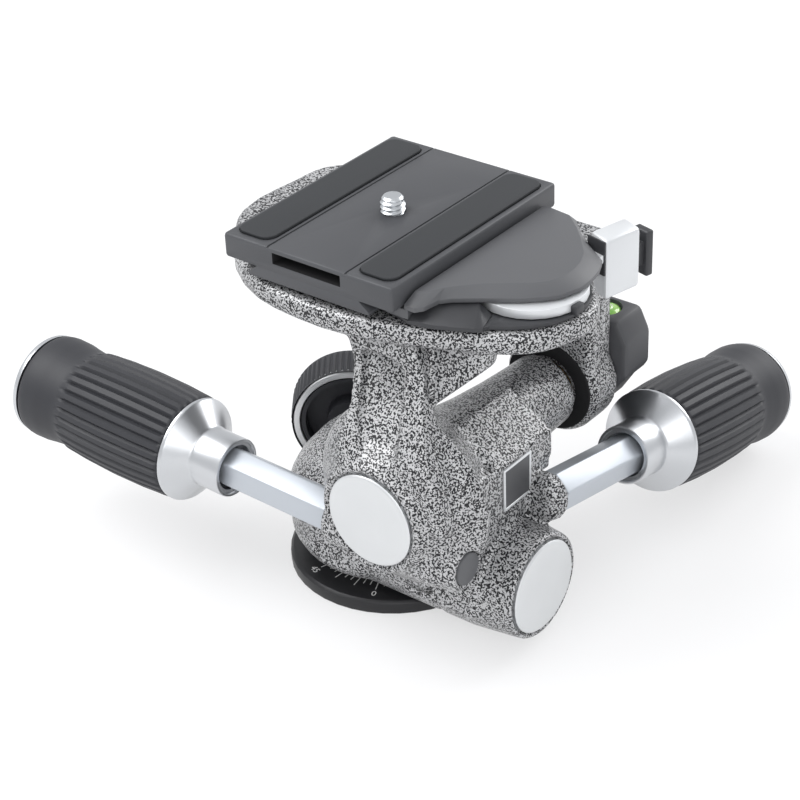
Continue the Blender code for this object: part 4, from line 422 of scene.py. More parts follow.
class Finishes:
    """Every finish of the head, made once when first asked for."""

    def __init__(self) -> None:
        """Name the finishes that do not depend on an axis."""
        self._made: dict[str, bpy.types.Material] = {}
        self.paint = self.get(HammerPaint())
        self.black = self.get(Grain(
            "black_anodised_skin", (0.040, 0.041, 0.045), 0.42, 0.16 * MM, 0.006 * MM,
            metallic=0.25, tint=0.12, strength=0.35))
        self.plate_black = self.get(Grain(
            "plate_anodised_skin", (0.066, 0.068, 0.074), 0.47, 0.12 * MM, 0.005 * MM,
            metallic=0.2, tint=0.10, strength=0.3))
        self.dial_black = self.get(Grain(
            "dial_black_skin", (0.018, 0.018, 0.020), 0.40, 0.14 * MM, 0.004 * MM,
            metallic=0.2, tint=0.12, strength=0.3))
        self.grey = self.get(Grain(
            "grey_moulding", (0.085, 0.087, 0.093), 0.46, 0.20 * MM, 0.012 * MM,
            tint=0.10, strength=0.45))
        self.level_grey = self.get(Grain(
            "level_moulding", (0.055, 0.056, 0.061), 0.50, 0.20 * MM, 0.012 * MM,
            tint=0.10, strength=0.45))
        self.rubber = self.get(Grain(
            "grip_rubber", (0.024, 0.025, 0.030), 0.55, 0.22 * MM, 0.010 * MM,
            tint=0.16, strength=0.4))
        self.pad = self.get(Grain(
            "pad_rubber", (0.020, 0.022, 0.025), 0.70, 0.30 * MM, 0.035 * MM,
            tint=0.34, strength=0.8))
        self.pale_rod = self.get(Grain(
            "clear_anodised_rod", (0.50, 0.53, 0.57), 0.42, 0.10 * MM, 0.002 * MM,
            metallic=0.65, tint=0.03, strength=0.2))
        self.lever = self.get(Grain(
            "blasted_silver", (0.70, 0.715, 0.73), 0.42, 0.10 * MM, 0.005 * MM,
            metallic=0.55, tint=0.03, strength=0.35))
        # Near-black painted shade: it goes on the ring in the collar's recess and on the walls of the plate's
        # end slot.
        self.shadow = self.get(Grain("painted_shade_black", (0.004, 0.004, 0.005), 0.85, 0.3 * MM, 0.004 * MM))
        self.nylon = self.get(Grain("nylon_ring", (0.76, 0.76, 0.71), 0.5, 0.4 * MM, 0.004 * MM))
        self.badge_face = self.get(Grain(
            "label_face", (0.085, 0.087, 0.092), 0.38, 0.5 * MM, 0.003 * MM,
            metallic=0.4, tint=0.08))
        self.steel = self.get(TurnedMetal("turned_steel", (0.60, 0.60, 0.61), 0.28))
        self.brass = self.get(TurnedMetal("turned_brass", (0.72, 0.50, 0.20), 0.30))
        self.white = self.get(MarkPaint("dial_white", (0.80, 0.80, 0.79)))
        self.liquid = self.get(ClearLiquid("level_liquid", (0.52, 0.88, 0.20), (0.20, 0.56, 0.06)))
        self.bubble = self.get(ClearLiquid("level_bubble", (0.86, 0.98, 0.70), (0.70, 0.92, 0.50), 0.2))

    def get(self, finish: object) -> bpy.types.Material:
        """The material of a finish, made the first time that it is asked for.

        Args:
            finish: one of the finish classes, with its values.

        Returns:
            The material.
        """
        if finish.name not in self._made:
            self._made[finish.name] = finish.build()
        return self._made[finish.name]

    def turned(self, name: str, point: Sequence[float], turn: Matrix,
               colour: Colour = (0.80, 0.81, 0.82), roughness: float = 0.30) -> bpy.types.Material:
        """Satin metal turned about an axis through a point.

        Args:
            name: what the finish is called.
            point: a point on the axis.
            turn: the turn that takes Z to the axis.
            colour: the metal's colour.
            roughness: how matt it is.

        Returns:
            The material.
        """
        return self.get(TurnedMetal(name, colour, roughness, tuple(point), turn.copy()))


def focus(item: bpy.types.Object) -> None:
    """Make an object the only selected and the active one.

    Args:
        item: the object.
    """
    if bpy.context.mode != "OBJECT":
        bpy.ops.object.mode_set(mode="OBJECT")
    bpy.ops.object.select_all(action="DESELECT")
    item.select_set(True)
    bpy.context.view_layer.objects.active = item


class Piece:
    """A mesh on the bench, shaped in edit mode and finished with modifiers."""

    def __init__(self, name: str, item: bpy.types.Object) -> None:
        """Take an object to the bench under a new name."""
        self.item = item
        self.item.name = name
        self.item.data.name = name

    @classmethod
    def ring(cls, name: str, radius: float, steps: int, height: float = 0.0) -> "Piece":
        """A ring of edges about Z.

        Args:
            name: the piece's name.
            radius: the ring's radius.
            steps: how many edges it has.
            height: how high it stands.

        Returns:
            The ring as a piece.
        """
        bpy.ops.object.select_all(action="DESELECT")
        bpy.ops.mesh.primitive_circle_add(vertices=steps, radius=radius, location=(0.0, 0.0, height))
        bpy.ops.object.transform_apply(location=True, rotation=False, scale=False)
        return cls(name, bpy.context.active_object)

    @classmethod
    def block(cls, name: str, low: Sequence[float], high: Sequence[float]) -> "Piece":
        """A block between two corners.

        Args:
            name: the piece's name.
            low: its lowest corner.
            high: its highest corner.

        Returns:
            The block as a piece.
        """
        low, high = Vector(low), Vector(high)
        bpy.ops.object.select_all(action="DESELECT")
        bpy.ops.mesh.primitive_cube_add(size=1.0, location=(low + high) / 2, scale=high - low)
        bpy.ops.object.transform_apply(location=True, rotation=False, scale=True)
        return cls(name, bpy.context.active_object)

    @classmethod
    def of_node(cls, name: str, node: str) -> "Piece":
        """A copy of a CAD node with its loose triangles merged.

        Args:
            name: the piece's name.
            node: the node that is copied.

        Returns:
            The copy as a piece.
        """
        source = frame["nodes"][node]
        item = source.copy()
        item.data = source.data.copy()
        bpy.context.scene.collection.objects.link(item)
        item.parent = None
        item.matrix_world = Matrix.Identity(4)
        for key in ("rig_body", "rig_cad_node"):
            if key in item:
                del item[key]
        piece = cls(name, item)
        focus(item)
        if item.data.has_custom_normals:
            bpy.ops.mesh.customdata_custom_splitnormals_clear()
        with piece.edit():
            bpy.ops.mesh.select_all(action="SELECT")
            bpy.ops.mesh.remove_doubles(threshold=NODE_DOUBLES)
        return piece

    @contextmanager
    def edit(self) -> Iterator["Piece"]:
        """Work in edit mode, with points selectable.

        Yields:
            The piece.
        """
        focus(self.item)
        bpy.ops.object.mode_set(mode="EDIT")
        bpy.ops.mesh.select_mode(type="VERT")
        yield self
        bpy.ops.object.mode_set(mode="OBJECT")

    def pick(self, test: Callable[[Vector], bool]) -> None:
        """Select the points that pass a test.

        Args:
            test: whether a place is chosen.
        """
        bpy.ops.mesh.select_all(action="DESELECT")
        work = bmesh.from_edit_mesh(self.item.data)
        for point in work.verts:
            point.select = bool(test(point.co))
        work.select_flush_mode()
        bmesh.update_edit_mesh(self.item.data)

    def pick_faces(self, test: Callable[[Vector, Vector], bool]) -> None:
        """Select the faces that pass a test.

        Args:
            test: whether a face is chosen, from its middle and its normal.
        """
        bpy.ops.mesh.select_mode(type="FACE")
        bpy.ops.mesh.select_all(action="DESELECT")
        work = bmesh.from_edit_mesh(self.item.data)
        work.normal_update()
        for face in work.faces:
            face.select = bool(test(face.calc_center_median(), face.normal))
        work.select_flush_mode()
        bmesh.update_edit_mesh(self.item.data)

    def pick_edges(self, test: Callable[[Vector, Vector], bool]) -> None:
        """Select the edges that pass a test.

        Args:
            test: whether an edge is chosen, from its two ends.
        """
        bpy.ops.mesh.select_mode(type="EDGE")
        bpy.ops.mesh.select_all(action="DESELECT")
        work = bmesh.from_edit_mesh(self.item.data)
        for edge in work.edges:
            edge.select = bool(test(edge.verts[0].co, edge.verts[1].co))
        work.select_flush_mode()
        bmesh.update_edit_mesh(self.item.data)

    def climb(self, steps: Profile, closed: bool = False) -> None:
        """Extrude the ring about Z through a profile, scaling it at each stop.

        Args:
            steps: radius and height of every ring, the first being the one that stands there. A
                last or first radius of zero closes that end in a pole.
            closed: whether the last ring joins the first.
        """
        rings = [stop for stop in steps if stop[0] > 0.0]
        with self.edit():
            bpy.ops.mesh.select_all(action="SELECT")
            path = list(zip(rings, rings[1:]))
            if closed:
                path.append((rings[-1], rings[0]))
            for (radius, height), (next_radius, next_height) in path:
                self.rise(next_height - height, next_radius / radius, next_height)
            if not closed and steps[-1][0] == 0.0:
                self.pole(steps[-1][1] - rings[-1][1])
            if not closed and steps[0][0] == 0.0:
                first_radius, first_height = rings[0]
                self.pick(lambda co: abs(co.z - first_height) < SAME_PLACE
                          and abs(math.hypot(co.x, co.y) - first_radius) < SAME_PLACE)
                self.pole(steps[0][1] - first_height)
            self.tidy()

    def rise(self, lift: float, scale: float, height: float) -> None:
        """Extrude the selection upwards and scale it about the axis."""
        bpy.ops.mesh.extrude_region_move(TRANSFORM_OT_translate={"value": (0.0, 0.0, lift)})
        bpy.ops.transform.resize(value=(scale, scale, 1.0), center_override=(0.0, 0.0, height))

    def pole(self, lift: float) -> None:
        """Close the selected ring in one point."""
        bpy.ops.mesh.extrude_region_move(TRANSFORM_OT_translate={"value": (0.0, 0.0, lift)})
        bpy.ops.mesh.merge(type="CENTER")

    def tidy(self) -> None:
        """Merge doubles and turn the faces outwards."""
        bpy.ops.mesh.select_all(action="SELECT")
        bpy.ops.mesh.remove_doubles(threshold=DOUBLES)
        bpy.ops.mesh.normals_make_consistent(inside=False)

    def squeeze(self, test: Callable[[Vector], bool], scale: float) -> None:
        """Draw the chosen points towards the Z axis or away from it."""
        self.pick(test)
        bpy.ops.transform.resize(value=(scale, scale, 1.0), center_override=(0.0, 0.0, 0.0))

    def modifier(self, kind: str, **settings: object) -> "Piece":
        """Add a modifier and apply it.

        Args:
            kind: the modifier's type.
            settings: its settings by name.

        Returns:
            The piece.
        """
        focus(self.item)
        added = self.item.modifiers.new(kind.lower(), kind)
        for key, value in settings.items():
            setattr(added, key, value)
        bpy.ops.object.modifier_apply(modifier=added.name)
        return self

    def bevel(self, width: float, segments: int = 3, angle: float = 32.0) -> "Piece":
        """Round the sharp edges."""
        return self.modifier("BEVEL", width=width, segments=segments, limit_method="ANGLE",
                             angle_limit=math.radians(angle), harden_normals=False)

    def flatten(self, angle: float = 0.4) -> "Piece":
        """Join triangles that lie in one plane.

        Args:
            angle: the most, in degrees, that their planes may differ.

        Returns:
            The piece.
        """
        with self.edit():
            bpy.ops.mesh.select_all(action="SELECT")
            bpy.ops.mesh.dissolve_limited(angle_limit=math.radians(angle))
        return self

    def cast(self, voxel: float, rounds: int) -> "Piece":
        """Melt the joints of a casting together, as a mould leaves them.

        Args:
            voxel: the size of a cell of the new mesh.
            rounds: how many times it is smoothed.

        Returns:
            The piece.
        """
        self.modifier("REMESH", mode="VOXEL", voxel_size=voxel, adaptivity=0.0)
        self.modifier("SMOOTH", factor=0.5, iterations=rounds)
        return self

    def cut(self, tools: Sequence["Piece"], operation: str = "DIFFERENCE") -> "Piece":
        """Cut other pieces out of this one, or join them, and clear them away.

        Args:
            tools: the other pieces.
            operation: what the Boolean does with them.

        Returns:
            The piece.
        """
        for tool in tools:
            self.modifier("BOOLEAN", operation=operation, solver="EXACT", object=tool.item)
            bpy.data.objects.remove(tool.item, do_unlink=True)
        return self

    def put(self, point: Sequence[float], turn: Matrix = Direction.UP.value) -> "Piece":
        """Take the piece to its place and leave its object at the origin.

        Args:
            point: where the piece's own origin goes.
            turn: how the piece, made about its own Z, is turned.

        Returns:
            The piece.
        """
        focus(self.item)
        self.item.matrix_world = Matrix.Translation(Vector(point)) @ turn.to_4x4()
        bpy.ops.object.transform_apply(location=True, rotation=True, scale=True)
        return self

    def join(self, others: Sequence["Piece"]) -> "Piece":
        """Take other pieces into this one.

        Args:
            others: the pieces that become part of it.

        Returns:
            The piece.
        """
        focus(self.item)
        for other in others:
            other.item.select_set(True)
        if others:
            bpy.ops.object.join()
        return self

    def dress(self, material: bpy.types.Material, body: str, slot: Slot, nodes: Sequence[str] = (),
              angle: float = 34.0) -> "Piece":
        """Shade the piece, give it its finish and let it ride on its body.

        Args:
            material: the finish.
            body: the body that carries it.
            slot: the record's slot that the finish stands for; it is not used.
            nodes: CAD nodes that the piece stands for.
            angle: edges sharper than this many degrees stay crisp.

        Returns:
            The piece.
        """
        focus(self.item)
        bpy.ops.object.shade_smooth_by_angle(angle=math.radians(angle))
        if not self.item.data.materials:
            self.item.data.materials.append(material)
        else:
            self.item.data.materials[0] = material
        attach(self.item, body)
        if nodes:
            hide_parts(*nodes)
        LOG.info("%s rides on %s, %d faces", self.item.name, body, len(self.item.data.polygons))
        return self


def metric(profile: Profile, lift: float = 0.0) -> Profile:
    """A profile that is written in millimetres, in metres and lifted along its axis."""
    return [(radius * MM, height * MM + lift) for radius, height in profile]


def turned(name: str, profile: Profile, steps: int = RING_ROUND, closed: bool = False) -> Piece:
    """A piece turned about Z.

    Args:
        name: the piece's name.
        profile: radius and height of each ring.
        steps: how many facets go round.
        closed: whether the last ring joins the first.

    Returns:
        The piece.
    """
    first = next(stop for stop in profile if stop[0] > 0.0)
    piece = Piece.ring(name, first[0], steps, first[1])
    piece.climb(profile, closed)
    return piece


def helix(name: str, radius: float, pitch: float, turns: int, inward: bool = False) -> Piece:
    """A screw thread about Z, swept from a point of its form.

    Args:
        name: the piece's name.
        radius: the radius at the thread's foot.
        pitch: the rise of one turn.
        turns: how many turns it has.
        inward: whether its crest points at the axis.

    Returns:
        The thread as an open ribbon on its core.
    """
    side = -1.0 if inward else 1.0
    bpy.ops.object.select_all(action="DESELECT")
    bpy.ops.mesh.primitive_circle_add(vertices=4, radius=pitch / 2, rotation=(math.pi / 2, 0.0, 0.0))
    bpy.ops.object.transform_apply(location=False, rotation=True, scale=False)
    form = Piece(name, bpy.context.active_object)
    with form.edit():
        form.pick(lambda co: co.x * side < -pitch / 4)
        bpy.ops.mesh.delete(type="VERT")
        bpy.ops.mesh.select_all(action="SELECT")
        bpy.ops.transform.resize(value=(THREAD_HEIGHT_SHARE, 1.0, 1.0), center_override=(0.0, 0.0, 0.0))
        bpy.ops.transform.translate(value=(radius, 0.0, 0.0))
    form.modifier("SCREW", angle=FULL_TURN, screw_offset=pitch, iterations=turns, steps=THREAD_STEPS,
                  render_steps=THREAD_STEPS, use_merge_vertices=True, merge_threshold=DOUBLES)
    with form.edit():
        bpy.ops.mesh.select_all(action="SELECT")
        bpy.ops.mesh.normals_make_consistent(inside=inward)
    return form


def aim(direction: Sequence[float]) -> Matrix:
    """The turn that takes Z to a direction and keeps X level.

    Args:
        direction: where Z goes.

    Returns:
        The turn.
    """
    forward = Vector(direction).normalized()
    side = Vector((0.0, 0.0, 1.0)).cross(forward).normalized()
    return Matrix((side, forward.cross(side), forward)).transposed()


@dataclass
class Base:
    """The scaled disc with its dial, threaded bush and screws."""

    finishes: Finishes
    body: str = "base"
    top: float = 4.2 * MM
    zero: float = 24.0
    short: tuple[float, float] = (20.6 * MM, 22.9 * MM)
    long: tuple[float, float] = (20.6 * MM, 24.6 * MM)
    number_radius: float = 26.6 * MM
    number_height: float = 2.9 * MM
    line: float = 0.26 * MM
    proud: float = 0.03 * MM
    long_step: float = 15.0
    short_steps: tuple[float, float] = (5.0, 10.0)
    number_step: int = 45
    disc_edge: float = 0.25 * MM
    bush_profile: Profile = ((6.5, 11.0), (6.5, 0.6), (6.2, 0.3), (5.3, 0.3), (4.8, 0.9), (4.8, 11.0))
    thread_radius: float = 4.8 * MM
    thread_pitch: float = 1.588 * MM
    thread_turns: int = 6
    thread_low: float = 1.7 * MM
    screw_circle: float = 11.0 * MM
    screw_profile: Profile = (
        (0.0, 6.5), (1.25, 6.5), (1.25, 1.6), (2.4, 0.45), (2.3, 0.32), (1.35, 0.3), (0.0, 0.3),
    )
    socket_profile: Profile = ((0.0, 1.4), (0.75, 1.4), (0.75, -1.0), (0.0, -1.0))
    screw_count: int = 3

    def build(self) -> None:
        """Make every piece of the base."""
        disc = Piece.of_node("base_disc_body", "base_disc").flatten().bevel(self.disc_edge, 2, EDGE_ANGLE)
        disc.dress(self.finishes.dial_black, self.body, Slot.BLACK, ["base_disc"])
        self.marks()
        self.numbers()
        self.bush()
        self.screws()
        paint_node("pan_spindle", self.finishes.steel)
        paint_node("pan_washer", self.finishes.nylon)

    def tick(self, name: str, reach: tuple[float, float], degrees: float) -> Piece:
        """One mark of the dial.

        Args:
            name: the mark's name.
            reach: its inner and outer radius.
            degrees: its angle round the dial.

        Returns:
            The mark.
        """
        half = self.line / 2
        inner, outer = reach
        low, high = self.top - self.proud, self.top + self.proud
        piece = Piece.block(name, (-half, -outer, low), (half, -inner, high))
        return piece.put((0.0, 0.0, 0.0), Matrix.Rotation(math.radians(degrees), 3, "Z"))

    def marks(self) -> None:
        """The ring of marks: long ones every 15 degrees and two short ones between them."""
        marks = self.tick("dial_marks", self.long, self.zero)
        marks.join([self.tick("short_mark", self.short, self.zero + turn) for turn in self.short_steps])
        copies = round(360.0 / self.long_step) - 1
        with marks.edit():
            bpy.ops.mesh.select_all(action="SELECT")
            bpy.ops.mesh.spin(steps=copies, dupli=True, angle=FULL_TURN * copies / (copies + 1),
                              center=(0.0, 0.0, 0.0), axis=(0.0, 0.0, 1.0))
        marks.dress(self.finishes.white, self.body, Slot.NYLON)

    def numbers(self) -> None:
        """Plain numbers every 45 degrees, read from outside the disc."""
        made = []
        for index, degrees in enumerate(range(0, 360, self.number_step)):
            bpy.ops.object.select_all(action="DESELECT")
            bpy.ops.object.text_add(location=(0.0, 0.0, 0.0))
            digits = bpy.context.active_object
            digits.data.body = str(degrees)
            digits.data.size = self.number_height
            digits.data.align_x = "CENTER"
            digits.data.align_y = "CENTER"
            digits.data.extrude = self.proud
            focus(digits)
            bpy.ops.object.convert(target="MESH")
            number = Piece(f"dial_number_{index}", bpy.context.active_object)
            turn = Matrix.Rotation(math.radians(self.zero - degrees), 3, "Z")
            made.append(number.put(turn @ Vector((0.0, -self.number_radius, self.top)), turn))
        made[0].join(made[1:])
        Piece("dial_numbers", made[0].item).dress(self.finishes.white, self.body, Slot.NYLON)

    def bush(self) -> None:
        """The brass bush with the tripod's thread inside."""
        bush = turned("thread_bush_sleeve", metric(self.bush_profile), ROUND, closed=True)
        thread = helix("thread_bush_thread", self.thread_radius, self.thread_pitch, self.thread_turns,
                       inward=True)
        thread.put((0.0, 0.0, self.thread_low))
        bush.join([thread]).dress(self.finishes.brass, self.body, Slot.BRASS, ["thread_bush"])

    def screws(self) -> None:
        """Three countersunk screws with a six-sided socket, seen from below."""
        first = turned("base_screw_head_1", metric(self.screw_profile), SMALL_ROUND)
        first.cut([turned("socket", metric(self.socket_profile), 6)])
        for index in range(self.screw_count):
            angle = FULL_TURN * index / self.screw_count
            item = first.item
            if index < self.screw_count - 1:
                item = first.item.copy()
                item.data = first.item.data.copy()
                bpy.context.scene.collection.objects.link(item)
            piece = Piece(f"base_screw_head_{index + 1}", item)
            piece.put((self.screw_circle * math.cos(angle), self.screw_circle * math.sin(angle), 0.0))
            piece.dress(self.finishes.steel, self.body, Slot.STEEL, [f"base_screw_{index + 1}"])


def paint_node(node: str, material: bpy.types.Material) -> None:
    """Give a CAD node a better finish and leave its shape.

    Args:
        node: the node's name.
        material: the finish.
    """
    item = frame["nodes"][node]
    item.data.materials.clear()
    item.data.materials.append(material)


@dataclass
class PanBody:
    """The domed housing that turns on the base, with its knob."""

    finishes: Finishes
    body: str = "pan"
    knob_body: str = "pan_knob_body"
    knob_point: tuple[float, float, float] = (-10.382 * MM, -7.824 * MM, 26.8 * MM)
    knob_out: tuple[float, float, float] = (-0.601815, 0.798635, 0.0)
    cast_cell: float = 0.62 * MM
    cast_rounds: int = 7
    seat: float = 26.5 * MM
    rim_profile: Profile = (
        (0.0, 12.0), (11.6, 12.0), (12.4, 12.5), (15.7, 12.5), (16.65, 12.0), (17.0, 11.0), (17.0, 1.5),
        (16.6, 0.6), (16.75, 0.0), (16.7, 1.9), (14.0, 1.9), (14.0, 0.35), (12.8, 0.35), (12.5, 4.5),
        (6.6, 4.5), (6.4, 0.1), (3.4, 0.1), (3.4, 7.8), (0.0, 7.8),
    )
    ring_profile: Profile = ((16.4, 1.6), (16.4, 0.3), (16.1, 0.0), (14.6, 0.0), (14.3, 0.3), (14.3, 1.6))
    radius: float = 17.0 * MM
    teeth: int = 60
    facets: int = 4
    tooth_facets: int = 2
    tooth_depth: float = 0.62 * MM
    tooth_range: tuple[float, float] = (27.5 * MM, 38.4 * MM)

    def build(self) -> None:
        """Make the housing and the knob."""
        housing = Piece.of_node("pan_housing_casting", "pan_housing").cast(self.cast_cell, self.cast_rounds)
        housing.dress(self.finishes.paint, self.body, Slot.HAMMERTONE, ["pan_housing"], CAST_ANGLE)
        paint_node("tilt_axle", self.finishes.steel)
        paint_node("pan_clamp_shoe", self.finishes.brass)
        paint_node("pan_stud", self.finishes.steel)
        self.knob()
        self.ring()

    def knob(self) -> None:
        """The toothed rim with its recessed inner face."""
        steps = self.teeth * self.facets
        knob = turned("pan_knob_rim", metric(self.rim_profile, self.seat), steps)
        low, high = self.tooth_range
        with knob.edit():
            knob.squeeze(lambda co: low < co.z < high
                         and math.hypot(co.x, co.y) > self.radius - self.tooth_depth
                         and facet_of(co, steps) % self.facets < self.tooth_facets,
                         1.0 - self.tooth_depth / self.radius)
        knob.put(self.knob_point, aim(self.knob_out))
        knob.dress(self.finishes.rubber, self.knob_body, Slot.RUBBER, ["pan_knob"], 30.0)

    def ring(self) -> None:
        """The bright ring set in the knob's inner face."""
        ring = turned("pan_knob_bright_ring", metric(self.ring_profile, self.seat), FINE_ROUND, closed=True)
        turn = aim(self.knob_out)
        ring.put(self.knob_point, turn)
        material = self.finishes.turned("knob_ring_metal", self.knob_point, turn)
        ring.dress(material, self.knob_body, Slot.SILVER, ["pan_knob_ring"])


def facet_of(point: Vector, steps: int) -> int:
    """Which facet line of a turned piece a point lies on."""
    return round(math.atan2(point.y, point.x) / FULL_TURN * steps) % steps


def half_space(name: str, edge: Place, angle: float, upper: bool) -> Piece:
    """A cutter that takes away what lies above or below a sloping plane.

    Args:
        name: the cutter's name.
        edge: a point of the plane.
        angle: how far the plane is turned about Y from level.
        upper: whether it takes what lies above.

    Returns:
        The cutter.
    """
    reach = HALF_SPACE_REACH
    low, high = (0.0, reach) if upper else (-reach, 0.0)
    cutter = Piece.block(name, (-reach, -reach, low), (reach, reach, high))
    return cutter.put(edge, Matrix.Rotation(angle, 3, "Y"))


def end_disc(name: str) -> Piece:
    """A satin disc with a fine chamfer and a face that is barely domed."""
    return turned(name, metric(DISC_PROFILE), DISC_ROUND)


@dataclass
class TiltBody:
    """The tilting casting with its end disc, bushing and bare label plate."""

    finishes: Finishes
    body: str = "tilt"
    cast_cell: float = 0.62 * MM
    cast_rounds: int = 7
    disc_place: Place = (56.8 * MM, -11.3 * MM, 18.7 * MM)
    disc_colour: Colour = (0.73, 0.745, 0.755)
    disc_roughness: float = 0.42
    label_low: Place = (47.4 * MM, -14.4 * MM, 40.0 * MM)
    label_high: Place = (47.9 * MM, -2.2 * MM, 52.6 * MM)
    label_border: float = 0.55 * MM
    label_edge: float = 0.12 * MM
    label_step: float = 0.08 * MM
    rod_place: Place = TILT_ROD_PLACE
    rod_out: Place = TILT_ROD_OUT
    cover_profile: Profile = ((0.0, -6.1), (4.4, -6.1), (6.2, -5.0), (6.8, -3.9), (0.0, -3.9))
    hollow_profile: Profile = ((0.0, 0.2), (6.5, 0.2), (6.5, 20.0), (0.0, 20.0))
    foot_low: Place = (30.0 * MM, 0.5 * MM, 38.0 * MM)
    foot_high: Place = (47.3 * MM, 7.2 * MM, 47.0 * MM)
    shoulder_low: Place = (30.0 * MM, -16.5 * MM, 46.0 * MM)
    shoulder_high: Place = (47.3 * MM, 8.2 * MM, 62.0 * MM)
    shoulder_edge: Place = (47.3 * MM, -4.0 * MM, 53.4 * MM)
    shoulder_angle: float = math.radians(33.2)

    def build(self) -> None:
        """Make the pieces."""
        casting = Piece.of_node("tilt_casting_body", "tilt_casting")
        casting.cut([self.stud_cover(), self.column_foot(), self.shoulder()], "UNION")
        casting.cast(self.cast_cell, self.cast_rounds)
        casting.dress(self.finishes.paint, self.body, Slot.HAMMERTONE, ["tilt_casting"], CAST_ANGLE)
        turn = Direction.RIGHT.value
        material = self.finishes.turned("tilt_disc_metal", self.disc_place, turn, self.disc_colour,
                                        self.disc_roughness)
        disc = end_disc("tilt_end_disc").put(self.disc_place, turn)
        disc.dress(material, self.body, Slot.SILVER, ["tilt_end_cap"])
        paint_node("tilt_bushing", self.finishes.brass)
        paint_node("roll_axle", self.finishes.steel)
        self.label()

    def stud_cover(self) -> Piece:
        """The closed end of the boss, over the handle's stud."""
        cover = turned("stud_cover", metric(self.cover_profile), SMALL_ROUND)
        return cover.put(self.rod_place, aim(self.rod_out))

    def column_foot(self) -> Piece:
        """The column's rear edge beside the handle's rod, hollowed round the rod."""
        foot = Piece.block("column_foot", self.foot_low, self.foot_high)
        hollow = turned("rod_hollow", metric(self.hollow_profile), ROUND)
        return foot.cut([hollow.put(self.rod_place, aim(self.rod_out))])

    def shoulder(self) -> Piece:
        """The slope that runs from the barrel's side to the column's outer edge."""
        shoulder = Piece.block("column_shoulder", self.shoulder_low, self.shoulder_high)
        above = half_space("above_shoulder", self.shoulder_edge, self.shoulder_angle, upper=True)
        return shoulder.cut([above])

    def label(self) -> None:
        """The bare label plate: a bright border round a dark face."""
        label = Piece.block("label_plate", self.label_low, self.label_high).bevel(self.label_edge, 2)
        face_x = self.label_high[0]
        with label.edit():
            label.pick_faces(lambda mid, normal: normal.x > 0.99 and mid.x > face_x - SAME_PLACE)
            bpy.ops.mesh.inset(thickness=self.label_border, depth=0.0)
            bpy.ops.mesh.inset(thickness=self.label_step, depth=-self.label_edge)
            self.label_face(label)
        label.dress(self.finishes.lever, self.body, Slot.BADGE, ["badge_plate"])

    def label_face(self, label: Piece) -> None:
        """Give the sunk face its own dark finish.

        Args:
            label: the plate in edit mode, with its sunk face selected.
        """
        label.item.data.materials.append(self.finishes.lever)
        label.item.data.materials.append(self.finishes.badge_face)
        label.item.active_material_index = 1
        bpy.ops.object.material_slot_assign()


